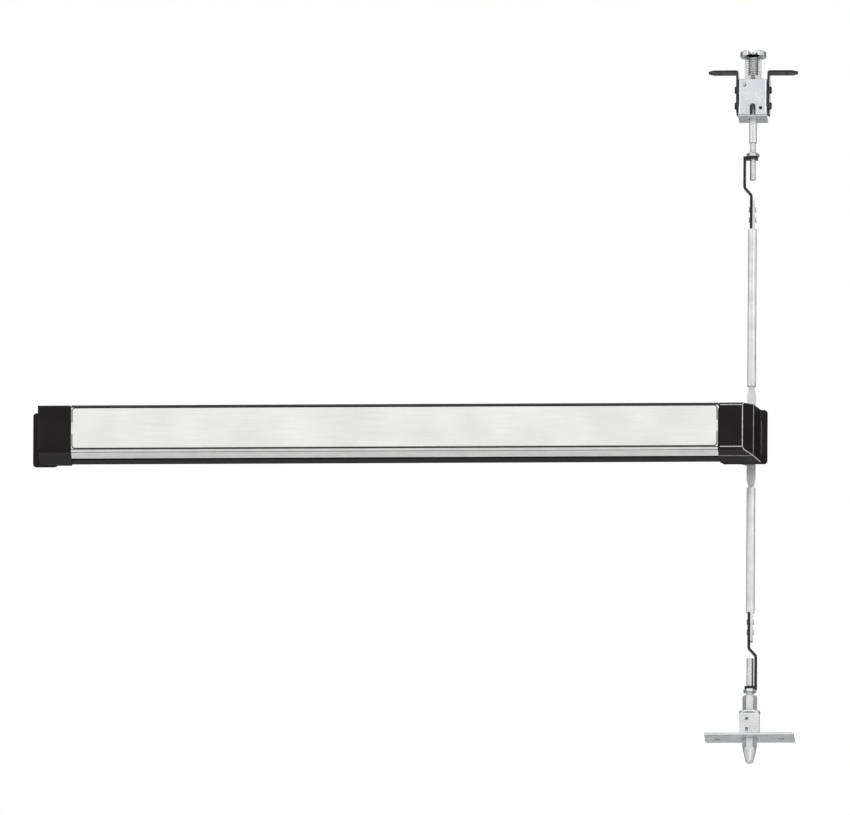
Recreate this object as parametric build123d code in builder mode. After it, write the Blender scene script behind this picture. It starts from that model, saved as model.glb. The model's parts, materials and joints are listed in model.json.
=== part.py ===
from build123d import *
import math
import os

os.makedirs("parts", exist_ok=True)

# A concealed vertical rod exit device: a push bar on the face of a door, two rods inside the door,
# a tilting head latch at the top and a drop bolt at the bottom.
# Millimetres. X runs along the bar, Y into the door (door face at Y=0), Z up. The origin is on the
# door face, level with the middle of the bar and straight in front of the rods.

# Driving dimensions: whole device
bar_length = 838.0          # from the hinge-end plate to the lock-edge of the case
case_overhang = 19.6        # case plate past the rod line, towards the lock edge
rod_depth = 22.0            # rod line behind the door face, half of a 44 mm door
upper_reach = 456.0         # top of the slotted head above the bar's middle
lower_reach = 377.0         # tip of the bottom bolt below the bar's middle

# Driving dimensions: push bar section
bar_depth = 60.0
shoulder_depth = 57.0       # where the front bevel starts
skirt_depth = 38.0          # back edge of the pad at rest
front_half = 24.6           # half height of the front face inside its bevel
shoulder_half = 27.6
skirt_half = 30.2
cap_half = 30.8             # half height of the end caps at the door
plate_half = 31.5           # half height of the case plate and the hinge-end plate
shell_wall = 2.0
plate_thick = 4.0
corner_radius = 4.0
face_plate_half = 23.3
face_plate_thick = 1.2
cover_left = -34.0
cap_right_from_end = 45.0   # inner edge of the hinge-end cap from the end of its plate
cap_left_from_end = 7.4     # outer edge of that cap from the end of its plate
piece_gap = 0.7             # sight line between pad and caps
rail_clear = 0.6            # between the rail and the shells over it
screw_radius = 2.5          # fixing screws into the door
rivet_radius = 2.0

# Driving dimensions: linkage
pad_travel = 14.0
rod_travel = 12.0
head_tilt = 15.0            # degrees
crank_pad_reach = 24.5
crank_rod_arm = 16.0
crank_depth = 15.5          # crank pivots in front of the door face
first_crank = -190.0        # crank pivot nearer the case
far_crank_inset = 132.7     # the other crank pivot, from the hinge end of the pad
lever_rod_reach = 20.0
lever_line = -19.5          # X of both lever shafts
lever_inset = 8.4           # shafts from the outer faces of the bracket that holds them
sheet = 2.5
slide_gap = 0.25            # pins in slots
running_gap = 0.05          # shafts in bushes
clear = 0.3                 # faces that pass each other

# Values worked out from the driving ones
bar_left = case_overhang - bar_length
cap_left = bar_left + cap_left_from_end
cap_right = bar_left + cap_right_from_end
pad_left = cap_right + piece_gap
pad_right = cover_left - piece_gap
case_left = cover_left + 1.0
rail_left = bar_left + 29.0
rail_right = case_left - 0.5
rail_half = cap_half - shell_wall - rail_clear              # wide foot of the rail
rail_neck_half = shoulder_half - shell_wall - rail_clear    # narrow front of the rail, inside the pad
rail_foot_depth = skirt_depth - pad_travel - 2.0
rail_depth = bar_depth - shell_wall - pad_travel - 4.0
half_crank = math.atan(pad_travel / 2 / crank_pad_reach)
pull_travel = 2 * crank_rod_arm * math.sin(half_crank)
half_lever = math.asin(rod_travel / 2 / lever_rod_reach)
lever_drive_arm = pull_travel / 2 / math.sin(half_lever)
bracket_half = shoulder_half - shell_wall + 1.8             # just inside the cover
lever_height = bracket_half - lever_inset                   # shafts above and below the bar's middle
crank_places = [pad_left + far_crank_inset, first_crank]


def save(piece, name):
    """Label a finished piece and write its file."""
    piece.part.label = name
    export_step(piece.part, f"parts/{name}.step")


def bar_section(inset, back):
    """Section of the bar across its length, as (Y, Z) points, pulled in all round by a wall."""
    upper = [
        (-back, skirt_half - inset),
        (-shoulder_depth + inset / 2, shoulder_half - inset),
        (-bar_depth + inset, front_half - inset / 2),
    ]
    return upper + [(y, -z) for y, z in reversed(upper)]


def cap_section(inset, back):
    """Section of the end caps: the bar's section carried on to the door."""
    upper = [
        (-back, cap_half - inset),
        (-skirt_depth, skirt_half - inset),
        (-shoulder_depth + inset / 2, shoulder_half - inset),
        (-bar_depth + inset, front_half - inset / 2),
    ]
    return upper + [(y, -z) for y, z in reversed(upper)]


def link_outline(plane, length, root_radius, tip_radius):
    """A flat arm's outline: two round ends and the straight lines that touch them."""
    with BuildSketch(plane) as outline:
        Circle(root_radius)
        with Locations((length, 0)):
            Circle(tip_radius)
        make_hull()
    return outline.sketch


def front_plane(x, y, z, degrees):
    """A plane that faces the front, its own X axis turned up from the bar by an angle."""
    turn = math.radians(degrees)
    return Plane(origin=(x, y, z), x_dir=(math.cos(turn), 0, math.sin(turn)), z_dir=(0, -1, 0))


def level_plane(x, y, z, degrees):
    """A level plane, its own X axis turned from the bar towards the door by an angle."""
    turn = math.radians(degrees)
    return Plane(origin=(x, y, z), x_dir=(math.cos(turn), math.sin(turn), 0), z_dir=(0, 0, 1))


# Base rail: an extruded channel on the door, open to the front, with a narrow neck for the pad
with BuildPart() as base_rail:
    with BuildSketch(Plane.YZ.offset(rail_left)):
        with BuildLine():
            rail_upper = [
                (0, rail_half),
                (-rail_foot_depth, rail_half),
                (-rail_foot_depth, rail_neck_half),
                (-rail_depth, rail_neck_half),
                (-rail_depth, rail_neck_half - shell_wall),
                (-rail_foot_depth + shell_wall, rail_neck_half - shell_wall),
                (-rail_foot_depth + shell_wall, rail_half - shell_wall),
                (-shell_wall, rail_half - shell_wall),
            ]
            Polyline(*rail_upper, *[(y, -z) for y, z in reversed(rail_upper)], close=True)
        make_face()
    extrude(amount=rail_right - rail_left)
    # rivet holes for the crank brackets and the end connectors
    rivet_height = 12.0
    bracket_rivet_shift = 4.0
    connector_reach = 34.0
    connector_rivet = connector_reach - 8.0
    rivet_columns = [x + bracket_rivet_shift for x in crank_places]
    rivet_columns += [rail_left + connector_rivet, rail_right - connector_rivet]
    rivet_rows = [rivet_height, -rivet_height]
    bracket_points = [(x, z) for x in rivet_columns[:2] for z in rivet_rows]
    connector_points = [(x, 0) for x in rivet_columns[2:]]
    rivet_points = bracket_points + connector_points
    with BuildSketch(Plane.XZ):
        with Locations(*rivet_points):
            Circle(rivet_radius)
    extrude(amount=shell_wall, mode=Mode.SUBTRACT)
    # screw holes into the door
    rail_screw_inset = 60.0
    rail_screw_height = 18.0
    rail_middle = (rail_left + rail_right) / 2
    rail_screw_columns = [rail_left + rail_screw_inset, rail_middle, rail_right - rail_screw_inset]
    rail_screw_rows = [rail_screw_height, -rail_screw_height]
    with BuildSketch(Plane.XZ):
        with Locations(*[(x, z) for x in rail_screw_columns for z in rail_screw_rows]):
            Circle(screw_radius)
    extrude(amount=shell_wall, mode=Mode.SUBTRACT)
save(base_rail, "base_rail")

# Rivets through the rail's web, flush with the door side
rivet_grip = 2 * shell_wall
rivet_head_radius = 1.7 * rivet_radius
rivet_head_high = 1.2
with BuildPart() as rail_rivets:
    with BuildSketch(Plane.XZ):
        with Locations(*rivet_points):
            Circle(rivet_radius)
    extrude(amount=rivet_grip)
    with BuildSketch(Plane.XZ.offset(rivet_grip)):
        with Locations(*rivet_points):
            Circle(rivet_head_radius)
    extrude(amount=rivet_head_high)
save(rail_rivets, "rail_rivets")

# Joggled straps that join the rail to the plate at each of its ends
connector_half = 10.5
connector_lap = 4.3
connector_step = 3.0


def end_connector(rail_end, toward_plate):
    """A strap on the rail's web that steps up onto the plate beside it."""
    with BuildPart() as strap:
        with BuildSketch(Plane.XY.offset(-connector_half)):
            with BuildLine():
                inner = rail_end - toward_plate * connector_reach
                step = rail_end - toward_plate * connector_step
                tip = rail_end + toward_plate * connector_lap
                Polyline(
                    (inner, -shell_wall),
                    (rail_end, -shell_wall),
                    (rail_end, -plate_thick),
                    (tip, -plate_thick),
                    (tip, -plate_thick - shell_wall),
                    (step, -plate_thick - shell_wall),
                    (step, -rivet_grip),
                    (inner, -rivet_grip),
                    close=True,
                )
            make_face()
        extrude(amount=2 * connector_half)
        with BuildSketch(Plane.XZ):
            with Locations((rail_end - toward_plate * connector_rivet, 0)):
                Circle(rivet_radius)
        extrude(amount=bar_depth, mode=Mode.SUBTRACT)
    return strap


save(end_connector(rail_left, -1), "rail_connector_left")
save(end_connector(rail_right, 1), "rail_connector_right")

# Hinge-end bracket: plate on the door with a rib that the cap is screwed to
rib_left = cap_left + 5.0
rib_half = 20.0
rib_depth = 42.0
end_plate_gap = 0.5         # between the plate and the rail's end
cap_screw_depth = 26.0
cap_screw_height = 12.0
cap_screw_radius = 1.6
hinge_hole_x = (bar_left + rail_left) / 2 + 6.0
hinge_hole_height = 23.0
end_plate_right = rail_left - end_plate_gap
cap_screw_points = [(-cap_screw_depth, side * cap_screw_height) for side in (1, -1)]
with BuildPart() as hinge_end_bracket:
    with BuildSketch(Plane.XZ):
        with Locations(((bar_left + end_plate_right) / 2, 0)):
            RectangleRounded(end_plate_right - bar_left, 2 * plate_half, corner_radius)
        with Locations((hinge_hole_x, hinge_hole_height), (hinge_hole_x, -hinge_hole_height)):
            Circle(screw_radius, mode=Mode.SUBTRACT)
    extrude(amount=plate_thick)
    with BuildSketch(Plane.YZ.offset(rib_left)):
        with Locations((-(plate_thick + rib_depth) / 2, 0)):
            Rectangle(rib_depth - plate_thick, 2 * rib_half)
        with Locations(*cap_screw_points):
            Circle(cap_screw_radius, mode=Mode.SUBTRACT)
    extrude(amount=sheet)
save(hinge_end_bracket, "hinge_end_bracket")

# Hinge-end cap: a thin shell with the bar's own section, closed at its outer end
seat_gap = 0.1
cap_seat = plate_thick + seat_gap
cap_bevel = 3.0
cap_screw_head = 3.3
with BuildPart() as hinge_end_cap:
    with BuildSketch(Plane.YZ.offset(cap_left)):
        with BuildLine():
            Polyline(*cap_section(0, cap_seat), close=True)
        make_face()
    extrude(amount=cap_right - cap_left)
    chamfer(
        hinge_end_cap.faces().sort_by(Axis.X)[0].edges().sort_by(Axis.Y)[0],
        cap_bevel,
    )
    with BuildSketch(Plane.YZ.offset(cap_left + shell_wall)):
        with BuildLine():
            Polyline(*cap_section(shell_wall, cap_seat - 1), close=True)
        make_face()
    extrude(amount=cap_right - cap_left, mode=Mode.SUBTRACT)
    with Locations(Plane(origin=(cap_left, 0, 0), x_dir=(0, 1, 0), z_dir=(-1, 0, 0))):
        with Locations(*cap_screw_points):
            CounterSinkHole(cap_screw_radius + 0.2, cap_screw_head + 0.1, depth=shell_wall * 2)
save(hinge_end_cap, "hinge_end_cap")

# Cap screws: flush countersunk heads
cap_screw_cone = 1.8
with BuildPart() as cap_screws:
    head_plane = Plane(origin=(cap_left, 0, 0), x_dir=(0, 1, 0), z_dir=(1, 0, 0))
    for centre in cap_screw_points:
        with BuildSketch(head_plane.offset(seat_gap)):
            with Locations(centre):
                Circle(cap_screw_head)
        with BuildSketch(head_plane.offset(cap_screw_cone)):
            with Locations(centre):
                Circle(cap_screw_radius)
        loft()
    with BuildSketch(head_plane.offset(cap_screw_cone)):
        with Locations(*cap_screw_points):
            Circle(cap_screw_radius)
    extrude(amount=rib_left - cap_left + sheet - cap_screw_cone)
save(cap_screws, "cap_screws")

# Touch pad: the long hollow bar that is pushed, open at the back, sliding over the rail's neck
with BuildPart() as touch_pad:
    with BuildSketch(Plane.YZ.offset(pad_left)):
        with BuildLine():
            Polyline(*bar_section(0, skirt_depth), close=True)
        make_face()
        with BuildLine():
            Polyline(*bar_section(shell_wall, skirt_depth - 1), close=True)
        make_face(mode=Mode.SUBTRACT)
    extrude(amount=pad_right - pad_left)
save(touch_pad, "touch_pad")

# Face plate: the bright rounded panel on the pad's front
face_margin = 1.4
face_corner = 3.5
face_bevel = 0.5
with BuildPart() as pad_face_plate:
    with BuildSketch(Plane.XZ.offset(bar_depth)):
        with Locations(((pad_left + pad_right) / 2, 0)):
            RectangleRounded(pad_right - pad_left - 2 * face_margin, 2 * face_plate_half, face_corner)
    extrude(amount=face_plate_thick)
    front_edges = pad_face_plate.faces().sort_by(Axis.Y)[0].edges()
    chamfer(front_edges, face_bevel)
save(pad_face_plate, "pad_face_plate")

# Levels of the layers in the rail, measured up from the bar's middle
strap_half = 1.5            # pull rod strip
crank_top = -2.0
crank_thick = 3.0
crank_bottom = crank_top - crank_thick
lug_thick = 2.5
lug_gap = 1.0
upper_lug = strap_half + 1.2
lower_lug = crank_bottom - lug_gap - lug_thick
pin_radius = 2.0
lug_half = 4.5
lug_root_half = 12.0
carrier_web = (28.0, 30.0)
pad_inner_face = -bar_depth + shell_wall
pad_pin_depth = -crank_depth - pad_travel / 2


def pad_carrier(crank_x):
    """A forked bracket inside the pad that holds the pin which drives one crank."""
    pin_x = crank_x - crank_pad_reach
    with BuildPart() as carrier:
        with BuildSketch(Plane.XZ.offset(-pad_inner_face)):
            with Locations((pin_x, 0)):
                Rectangle(*carrier_web)
        extrude(amount=-sheet)
        for level in (upper_lug, lower_lug):
            with BuildSketch(Plane.XY.offset(level)):
                with BuildLine():
                    Polyline(
                        (pin_x - lug_root_half, pad_inner_face + 1),
                        (pin_x + lug_root_half, pad_inner_face + 1),
                        (pin_x + lug_half, pad_pin_depth),
                        (pin_x - lug_half, pad_pin_depth),
                        close=True,
                    )
                make_face()
                with Locations((pin_x, pad_pin_depth)):
                    Circle(lug_half)
                    Circle(pin_radius, mode=Mode.SUBTRACT)
            extrude(amount=lug_thick)
    return carrier


for label, crank_x in zip(("left", "right"), crank_places):
    save(pad_carrier(crank_x), f"pad_carrier_{label}")

# Pins fixed in the carriers, with a head under and a washer over each
pad_pin_points = [(x - crank_pad_reach, pad_pin_depth) for x in crank_places]
pin_head = 1.2
pin_head_radius = 1.7 * pin_radius
with BuildPart() as pad_pins:
    with BuildSketch(Plane.XY.offset(lower_lug - pin_head)):
        with Locations(*pad_pin_points):
            Circle(pin_head_radius)
    extrude(amount=pin_head)
    with BuildSketch(Plane.XY.offset(lower_lug)):
        with Locations(*pad_pin_points):
            Circle(pin_radius)
    extrude(amount=upper_lug + lug_thick - lower_lug)
    with BuildSketch(Plane.XY.offset(upper_lug + lug_thick)):
        with Locations(*pad_pin_points):
            Circle(pin_head_radius)
    extrude(amount=pin_head)
save(pad_pins, "pad_pins")

# Crank brackets: a small U on the rail's web that holds each crank between two ears
bracket_plate = 1.8
bracket_gap = 0.4
ear_reach = 6.0
bracket_left = 9.0
bracket_right = 14.0
bracket_rivet_margin = 5.0


def crank_bracket(crank_x):
    """Back plate with a riveted flange, and an ear under and over the crank."""
    with BuildPart() as bracket:
        with BuildSketch(Plane.XZ.offset(shell_wall)):
            with Locations((crank_x + (bracket_right - bracket_left) / 2, 0)):
                Rectangle(bracket_left + bracket_right, 2 * (rivet_height + bracket_rivet_margin))
            with Locations(*[(crank_x + bracket_rivet_shift, z) for z in rivet_rows]):
                Circle(rivet_radius, mode=Mode.SUBTRACT)
        extrude(amount=shell_wall)
        for level in (crank_top + bracket_gap, crank_bottom - bracket_gap - bracket_plate):
            with BuildSketch(Plane.XY.offset(level)):
                with Locations((crank_x, -(shell_wall + crank_depth) / 2)):
                    Rectangle(2 * ear_reach, crank_depth - shell_wall)
                with Locations((crank_x, -crank_depth)):
                    Circle(ear_reach)
                    Circle(pin_radius, mode=Mode.SUBTRACT)
            extrude(amount=bracket_plate)
    return bracket


for label, crank_x in zip(("left", "right"), crank_places):
    save(crank_bracket(crank_x), f"crank_bracket_{label}")

pivot_points = [(x, -crank_depth) for x in crank_places]
pivot_low = crank_bottom - bracket_gap - bracket_plate
pivot_high = crank_top + bracket_gap + bracket_plate
with BuildPart() as crank_pivot_pins:
    with BuildSketch(Plane.XY.offset(pivot_low - pin_head)):
        with Locations(*pivot_points):
            Circle(pin_head_radius)
    extrude(amount=pin_head)
    with BuildSketch(Plane.XY.offset(pivot_low)):
        with Locations(*pivot_points):
            Circle(pin_radius)
    extrude(amount=pivot_high - pivot_low + 1)
save(crank_pivot_pins, "crank_pivot_pins")

# Bell cranks: the pad pushes one arm back, the other arm pulls the pull rod away from the case
crank_hub = 5.6
crank_tip = 4.6
pull_pin_top = strap_half + 0.8


def bell_crank(crank_x):
    """Two flat arms at a right angle, turned to the rest position, with the pull pin standing up."""
    rest = math.degrees(half_crank)
    hub = (crank_x, -crank_depth, crank_bottom)
    pad_arm = level_plane(*hub, 180 + rest)
    rod_arm = level_plane(*hub, -90 + rest)
    slot_reach = math.hypot(crank_pad_reach, pad_travel / 2) - crank_pad_reach
    with BuildPart() as crank:
        extrude(link_outline(pad_arm, crank_pad_reach + slot_reach, crank_hub, crank_tip), crank_thick)
        extrude(link_outline(rod_arm, crank_rod_arm, crank_hub, crank_tip), crank_thick)
        with BuildSketch(pad_arm):
            Circle(pin_radius + running_gap)
        extrude(amount=crank_thick, mode=Mode.SUBTRACT)
        with BuildSketch(pad_arm):
            with Locations((crank_pad_reach + slot_reach / 2, 0)):
                SlotCenterToCenter(slot_reach, 2 * (pin_radius + slide_gap))
        extrude(amount=crank_thick, mode=Mode.SUBTRACT)
        with BuildSketch(rod_arm):
            with Locations((crank_rod_arm, 0)):
                Circle(pin_radius)
        extrude(amount=pull_pin_top - crank_bottom)
    return crank


for label, crank_x in zip(("left", "right"), crank_places):
    save(bell_crank(crank_x), f"crank_{label}")

# Pull rod: a flat strip along the rail with a cross slot over each crank's pin
pull_pin_shift = crank_rod_arm * math.sin(half_crank)
pull_pin_rise = crank_rod_arm * (1 - math.cos(half_crank))
strip_centre = -crank_depth - crank_rod_arm + pull_pin_rise / 2
strip_width = 10.4
strip_left = crank_places[0] - 26.0
yoke_wide = 17.0
yoke_shift = 3.0            # the yoke's middle, from its pins towards the hinge end
drive_x = lever_line + pull_travel / 2
strip_right = drive_x - yoke_shift - yoke_wide / 2 - 0.4
spring_post_x = first_crank + 24.0
post_radius = 2.0
post_high = 10.0
slot_play = 0.1
yoke_foot = 20.0
yoke_rivet_radius = 1.5
yoke_rivet_spots = [(strip_right - inset, strip_centre) for inset in (6.0, 16.0)]
with BuildPart() as pull_rod:
    with BuildSketch(Plane.XY.offset(-strap_half)):
        with Locations(((strip_left + strip_right) / 2, strip_centre)):
            Rectangle(strip_right - strip_left, strip_width)
        for crank_x in crank_places:
            with Locations((crank_x + pull_pin_shift, strip_centre)):
                SlotCenterToCenter(pull_pin_rise + slot_play, 2 * (pin_radius + slide_gap), rotation=90,
                                   mode=Mode.SUBTRACT)
        with Locations(*yoke_rivet_spots):
            Circle(yoke_rivet_radius, mode=Mode.SUBTRACT)
    extrude(amount=2 * strap_half)
    with BuildSketch(Plane.XY.offset(strap_half)):
        with Locations((spring_post_x, strip_centre)):
            Circle(post_radius)
    extrude(amount=post_high)
save(pull_rod, "pull_rod")

# Lift yoke: an upright plate at the end of the pull rod, with one slot for each lever
drive_rise = lever_drive_arm * (1 - math.cos(half_lever))
drive_pin_radius = 1.75
drive_low = lever_height - lever_drive_arm
yoke_front = strip_centre + 1.2
yoke_thick = 3.0
yoke_rim = 2.6
yoke_half = drive_low + drive_rise + drive_pin_radius + slide_gap + yoke_rim
with BuildPart() as lift_yoke:
    with BuildSketch(Plane.XZ.offset(-yoke_front)):
        with Locations((drive_x - yoke_shift, 0)):
            Rectangle(yoke_wide, 2 * yoke_half)
        for side in (1, -1):
            with Locations((drive_x, side * (drive_low + drive_rise / 2))):
                SlotCenterToCenter(drive_rise + slot_play, 2 * (drive_pin_radius + slide_gap), rotation=90,
                                   mode=Mode.SUBTRACT)
    extrude(amount=yoke_thick)
    with BuildSketch(Plane.XY.offset(strap_half)):
        with Locations((strip_right + 0.5 - yoke_foot / 2, strip_centre)):
            Rectangle(yoke_foot + 1, strip_width - 1)
        with Locations(*yoke_rivet_spots):
            Circle(yoke_rivet_radius, mode=Mode.SUBTRACT)
    extrude(amount=sheet)
save(lift_yoke, "lift_yoke")

yoke_rivet_head = 0.9
with BuildPart() as yoke_rivets:
    for level, radius, height in (
        (-strap_half - yoke_rivet_head, 2.5, yoke_rivet_head),
        (-strap_half, yoke_rivet_radius, 2 * strap_half + sheet),
        (strap_half + sheet, 2.5, yoke_rivet_head),
    ):
        with BuildSketch(Plane.XY.offset(level)):
            with Locations(*yoke_rivet_spots):
                Circle(radius)
        extrude(amount=height)
save(yoke_rivets, "yoke_rivets")

# Return spring: draws the pull rod back towards the case; its fixed end hooks on an anchor
spring_outer = 4.0
spring_inner = 2.8
spring_level = strap_half + 6.0
spring_left = spring_post_x + post_radius
spring_length = 56.0
anchor_x = spring_left + spring_length
with BuildPart() as return_spring:
    with BuildSketch(Plane.YZ.offset(spring_left)):
        with Locations((strip_centre, spring_level)):
            Circle(spring_outer)
            Circle(spring_inner, mode=Mode.SUBTRACT)
    extrude(amount=spring_length)
save(return_spring, "return_spring")

anchor_half = 4.5
anchor_foot = 16.0
with BuildPart() as spring_anchor:
    with BuildSketch(Plane.XY.offset(spring_level - anchor_half)):
        with BuildLine():
            anchor_front = strip_centre - anchor_half
            Polyline(
                (anchor_x, anchor_front),
                (anchor_x + sheet, anchor_front),
                (anchor_x + sheet, -shell_wall - sheet),
                (anchor_x + anchor_foot, -shell_wall - sheet),
                (anchor_x + anchor_foot, -shell_wall),
                (anchor_x, -shell_wall),
                close=True,
            )
        make_face()
    extrude(amount=2 * anchor_half)
save(spring_anchor, "spring_anchor")

# Case plate: carries the levers and closes the back of the case
slot_gap = 0.2
frame_leg_left = lever_line - 9.2
frame_leg_right = 10.0
frame_leg_half = 20.0
bush_outer = 5.0
shaft_radius = 3.0
bracket_wall = 2.0
bush_flange_radius = lever_inset - bracket_wall - 0.2
cover_screw_radius = 1.5
cover_screw_head = 2.9
cover_screw_x = 0.0
cover_screw_height = 24.0
frame_half = lever_height + shaft_radius + 1.2
case_hole_x = 8.0
case_hole_height = frame_half + screw_radius + 0.3     # bolts pass over and under the rear frame
case_middle = (case_left + case_overhang) / 2
shaft_points = [(lever_line, side * lever_height) for side in (1, -1)]
case_hole_points = [(x, z * case_hole_height) for x in (-case_hole_x, case_hole_x) for z in (1, -1)]
cover_screw_points = [(cover_screw_x, side * cover_screw_height) for side in (1, -1)]
with BuildPart() as active_base:
    with BuildSketch(Plane.XZ):
        with Locations((case_middle, 0)):
            RectangleRounded(case_overhang - case_left, 2 * plate_half, corner_radius)
        with Locations(*shaft_points):
            Circle(bush_outer, mode=Mode.SUBTRACT)
        with Locations(*case_hole_points):
            Circle(screw_radius, mode=Mode.SUBTRACT)
        for leg in (frame_leg_left, frame_leg_right):
            with Locations((leg + sheet / 2, 0)):
                Rectangle(sheet + 2 * slot_gap, 2 * (frame_leg_half + slot_gap), mode=Mode.SUBTRACT)
    extrude(amount=plate_thick)
    with Locations(Plane(origin=(0, 0, 0), x_dir=(1, 0, 0), z_dir=(0, 1, 0))):
        with Locations(*[(x, -z) for x, z in cover_screw_points]):
            CounterSinkHole(cover_screw_radius + 0.2, cover_screw_head + 0.3, depth=plate_thick)
save(active_base, "active_base")

with BuildPart() as lever_bushes:
    for level, radius, height in (
        (0, bush_outer, plate_thick),
        (plate_thick, bush_flange_radius, sheet),
    ):
        with BuildSketch(Plane.XZ.offset(level)):
            with Locations(*shaft_points):
                Circle(radius)
                Circle(shaft_radius + running_gap, mode=Mode.SUBTRACT)
        extrude(amount=height)
save(lever_bushes, "lever_bushes")

# Active cover: faceted shell over the case, its lock-edge side sloping back in two facets
cover_corner = -6.5
cover_knee = 5.0
cover_edge = 12.4
cover_proud = 1.0           # the cover's front stands this far before the bar's


def cover_plan(inset, back):
    """Plan of the cover, as (X, Y) points, pulled in all round by a wall."""
    return [
        (cover_left + inset, -back),
        (cover_left + inset, -bar_depth - cover_proud + inset * 2),
        (cover_corner - inset - 0.5, -bar_depth - cover_proud + inset * 2),
        (cover_knee - inset, -skirt_depth),
        (cover_edge - inset, -2 * plate_thick),
        (cover_edge - inset, -back),
    ]


cover_seat = plate_thick + seat_gap
with BuildPart() as cover_hollow:
    with BuildSketch(Plane.YZ.offset(cover_left + shell_wall)):
        with BuildLine():
            Polyline(*cap_section(shell_wall, cover_seat - 1), close=True)
        make_face()
    extrude(amount=cover_edge - cover_left)
    with BuildSketch(Plane.XY.offset(-cap_half)):
        with BuildLine():
            Polyline(*cover_plan(shell_wall, cover_seat - 1), close=True)
        make_face()
    extrude(amount=2 * cap_half, mode=Mode.INTERSECT)

boss_radius = 3.4
boss_depth = 14.0
with BuildPart() as active_cover:
    with BuildSketch(Plane.YZ.offset(cover_left)):
        with BuildLine():
            Polyline(*cap_section(0, cover_seat), close=True)
        make_face()
    extrude(amount=cover_edge - cover_left)
    with BuildSketch(Plane.XY.offset(-cap_half)):
        with BuildLine():
            Polyline(*cover_plan(0, cover_seat), close=True)
        make_face()
    extrude(amount=2 * cap_half, mode=Mode.INTERSECT)
    fillet(active_cover.edges().filter_by(Axis.Z).group_by(Axis.Y)[0], 2.0)
    add(cover_hollow.part, mode=Mode.SUBTRACT)
    # the window that the rail and the pull rod come through
    with BuildSketch(Plane.YZ.offset(cover_left)):
        with Locations((-rail_foot_depth / 2, 0)):
            Rectangle(rail_foot_depth + clear, 2 * (rail_half + clear))
        with Locations((-rail_depth / 2, 0)):
            Rectangle(rail_depth + 2 * clear, 2 * (rail_neck_half + clear))
    extrude(amount=shell_wall + 0.5, mode=Mode.SUBTRACT)
    # bosses for the two screws from behind, joined to the top and bottom walls
    with BuildSketch(Plane.XZ.offset(cover_seat)):
        for x, z in cover_screw_points:
            with Locations((x, z)):
                Circle(boss_radius)
            with Locations((x, math.copysign((abs(z) + cap_half - 1) / 2, z))):
                Rectangle(2 * boss_radius, cap_half - 1 - abs(z))
        with Locations(*cover_screw_points):
            Circle(cover_screw_radius, mode=Mode.SUBTRACT)
    extrude(amount=boss_depth)
save(active_cover, "active_cover")

cover_screw_sunk = 0.3
cover_screw_cone = cover_screw_sunk + cover_screw_head - cover_screw_radius
with BuildPart() as cover_screws:
    for centre in cover_screw_points:
        with BuildSketch(Plane.XZ.offset(cover_screw_sunk)):
            with Locations(centre):
                Circle(cover_screw_head)
        with BuildSketch(Plane.XZ.offset(cover_screw_cone)):
            with Locations(centre):
                Circle(cover_screw_radius)
        loft()
    with BuildSketch(Plane.XZ.offset(cover_screw_cone)):
        with Locations(*cover_screw_points):
            Circle(cover_screw_radius)
    extrude(amount=boss_depth)
save(cover_screws, "cover_screws")

# Lever bracket: a U on the case plate that holds the front ends of both lever shafts
bracket_front = -rail_depth - 1.0
shaft_front = bracket_front + 0.3
bracket_ends = (lever_line - 6.0, lever_line + 9.0)
with BuildPart() as lever_bracket:
    with BuildSketch(Plane.XZ.offset(-bracket_front - sheet)):
        with Locations((sum(bracket_ends) / 2, 0)):
            Rectangle(bracket_ends[1] - bracket_ends[0], 2 * bracket_half)
        with Locations(*shaft_points):
            Circle(shaft_radius + running_gap, mode=Mode.SUBTRACT)
    extrude(amount=sheet)
    for side in (1, -1):
        with BuildSketch(Plane.XZ.offset(plate_thick)):
            with Locations((sum(bracket_ends) / 2, side * (bracket_half - bracket_wall / 2))):
                Rectangle(bracket_ends[1] - bracket_ends[0], bracket_wall)
        extrude(amount=-bracket_front - plate_thick)
save(lever_bracket, "lever_bracket")

# Rear frame: a U channel inside the door behind the case, which holds the shafts' back ends
frame_back = rod_depth + 7.5
with BuildPart() as rear_frame:
    with BuildSketch(Plane.XY.offset(-frame_leg_half)):
        with BuildLine():
            outer_left = frame_leg_left
            outer_right = frame_leg_right + sheet
            Polyline(
                (outer_left, -plate_thick),
                (outer_left, frame_back),
                (outer_right, frame_back),
                (outer_right, -plate_thick),
                (outer_right - sheet, -plate_thick),
                (outer_right - sheet, frame_back - sheet),
                (outer_left + sheet, frame_back - sheet),
                (outer_left + sheet, -plate_thick),
                close=True,
            )
        make_face()
    extrude(amount=2 * frame_leg_half)
    with BuildSketch(Plane.XZ.offset(-frame_back)):
        with Locations(((outer_left + outer_right) / 2, 0)):
            Rectangle(outer_right - outer_left, 2 * frame_half)
    extrude(amount=sheet)
    with BuildSketch(Plane.XZ.offset(-frame_back)):
        with Locations(*shaft_points):
            Circle(shaft_radius + running_gap)
    extrude(amount=sheet, mode=Mode.SUBTRACT)
save(rear_frame, "rear_frame")

# Lift levers: a shaft through the door's face with a drive arm in front and a lift arm behind
arm_thick = 3.0
arm_root = 6.0
drive_arm_tip = 3.4
lift_arm_tip = 4.2
drive_arm_front = yoke_front + 0.5
lift_arm_back = rod_depth - 2.0
tang_thick = 3.0
lift_pin_end = rod_depth + tang_thick / 2 + 1.5
lift_pin_radius = 2.0
lift_degrees = math.degrees(half_lever)


def lever_shaft(side):
    """Plain round shaft through the case and the rear frame."""
    with BuildPart() as shaft:
        with BuildSketch(Plane.XZ.offset(-shaft_front)):
            with Locations((lever_line, side * lever_height)):
                Circle(shaft_radius)
        extrude(amount=-(frame_back - 0.2 - shaft_front))
    return shaft


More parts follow.
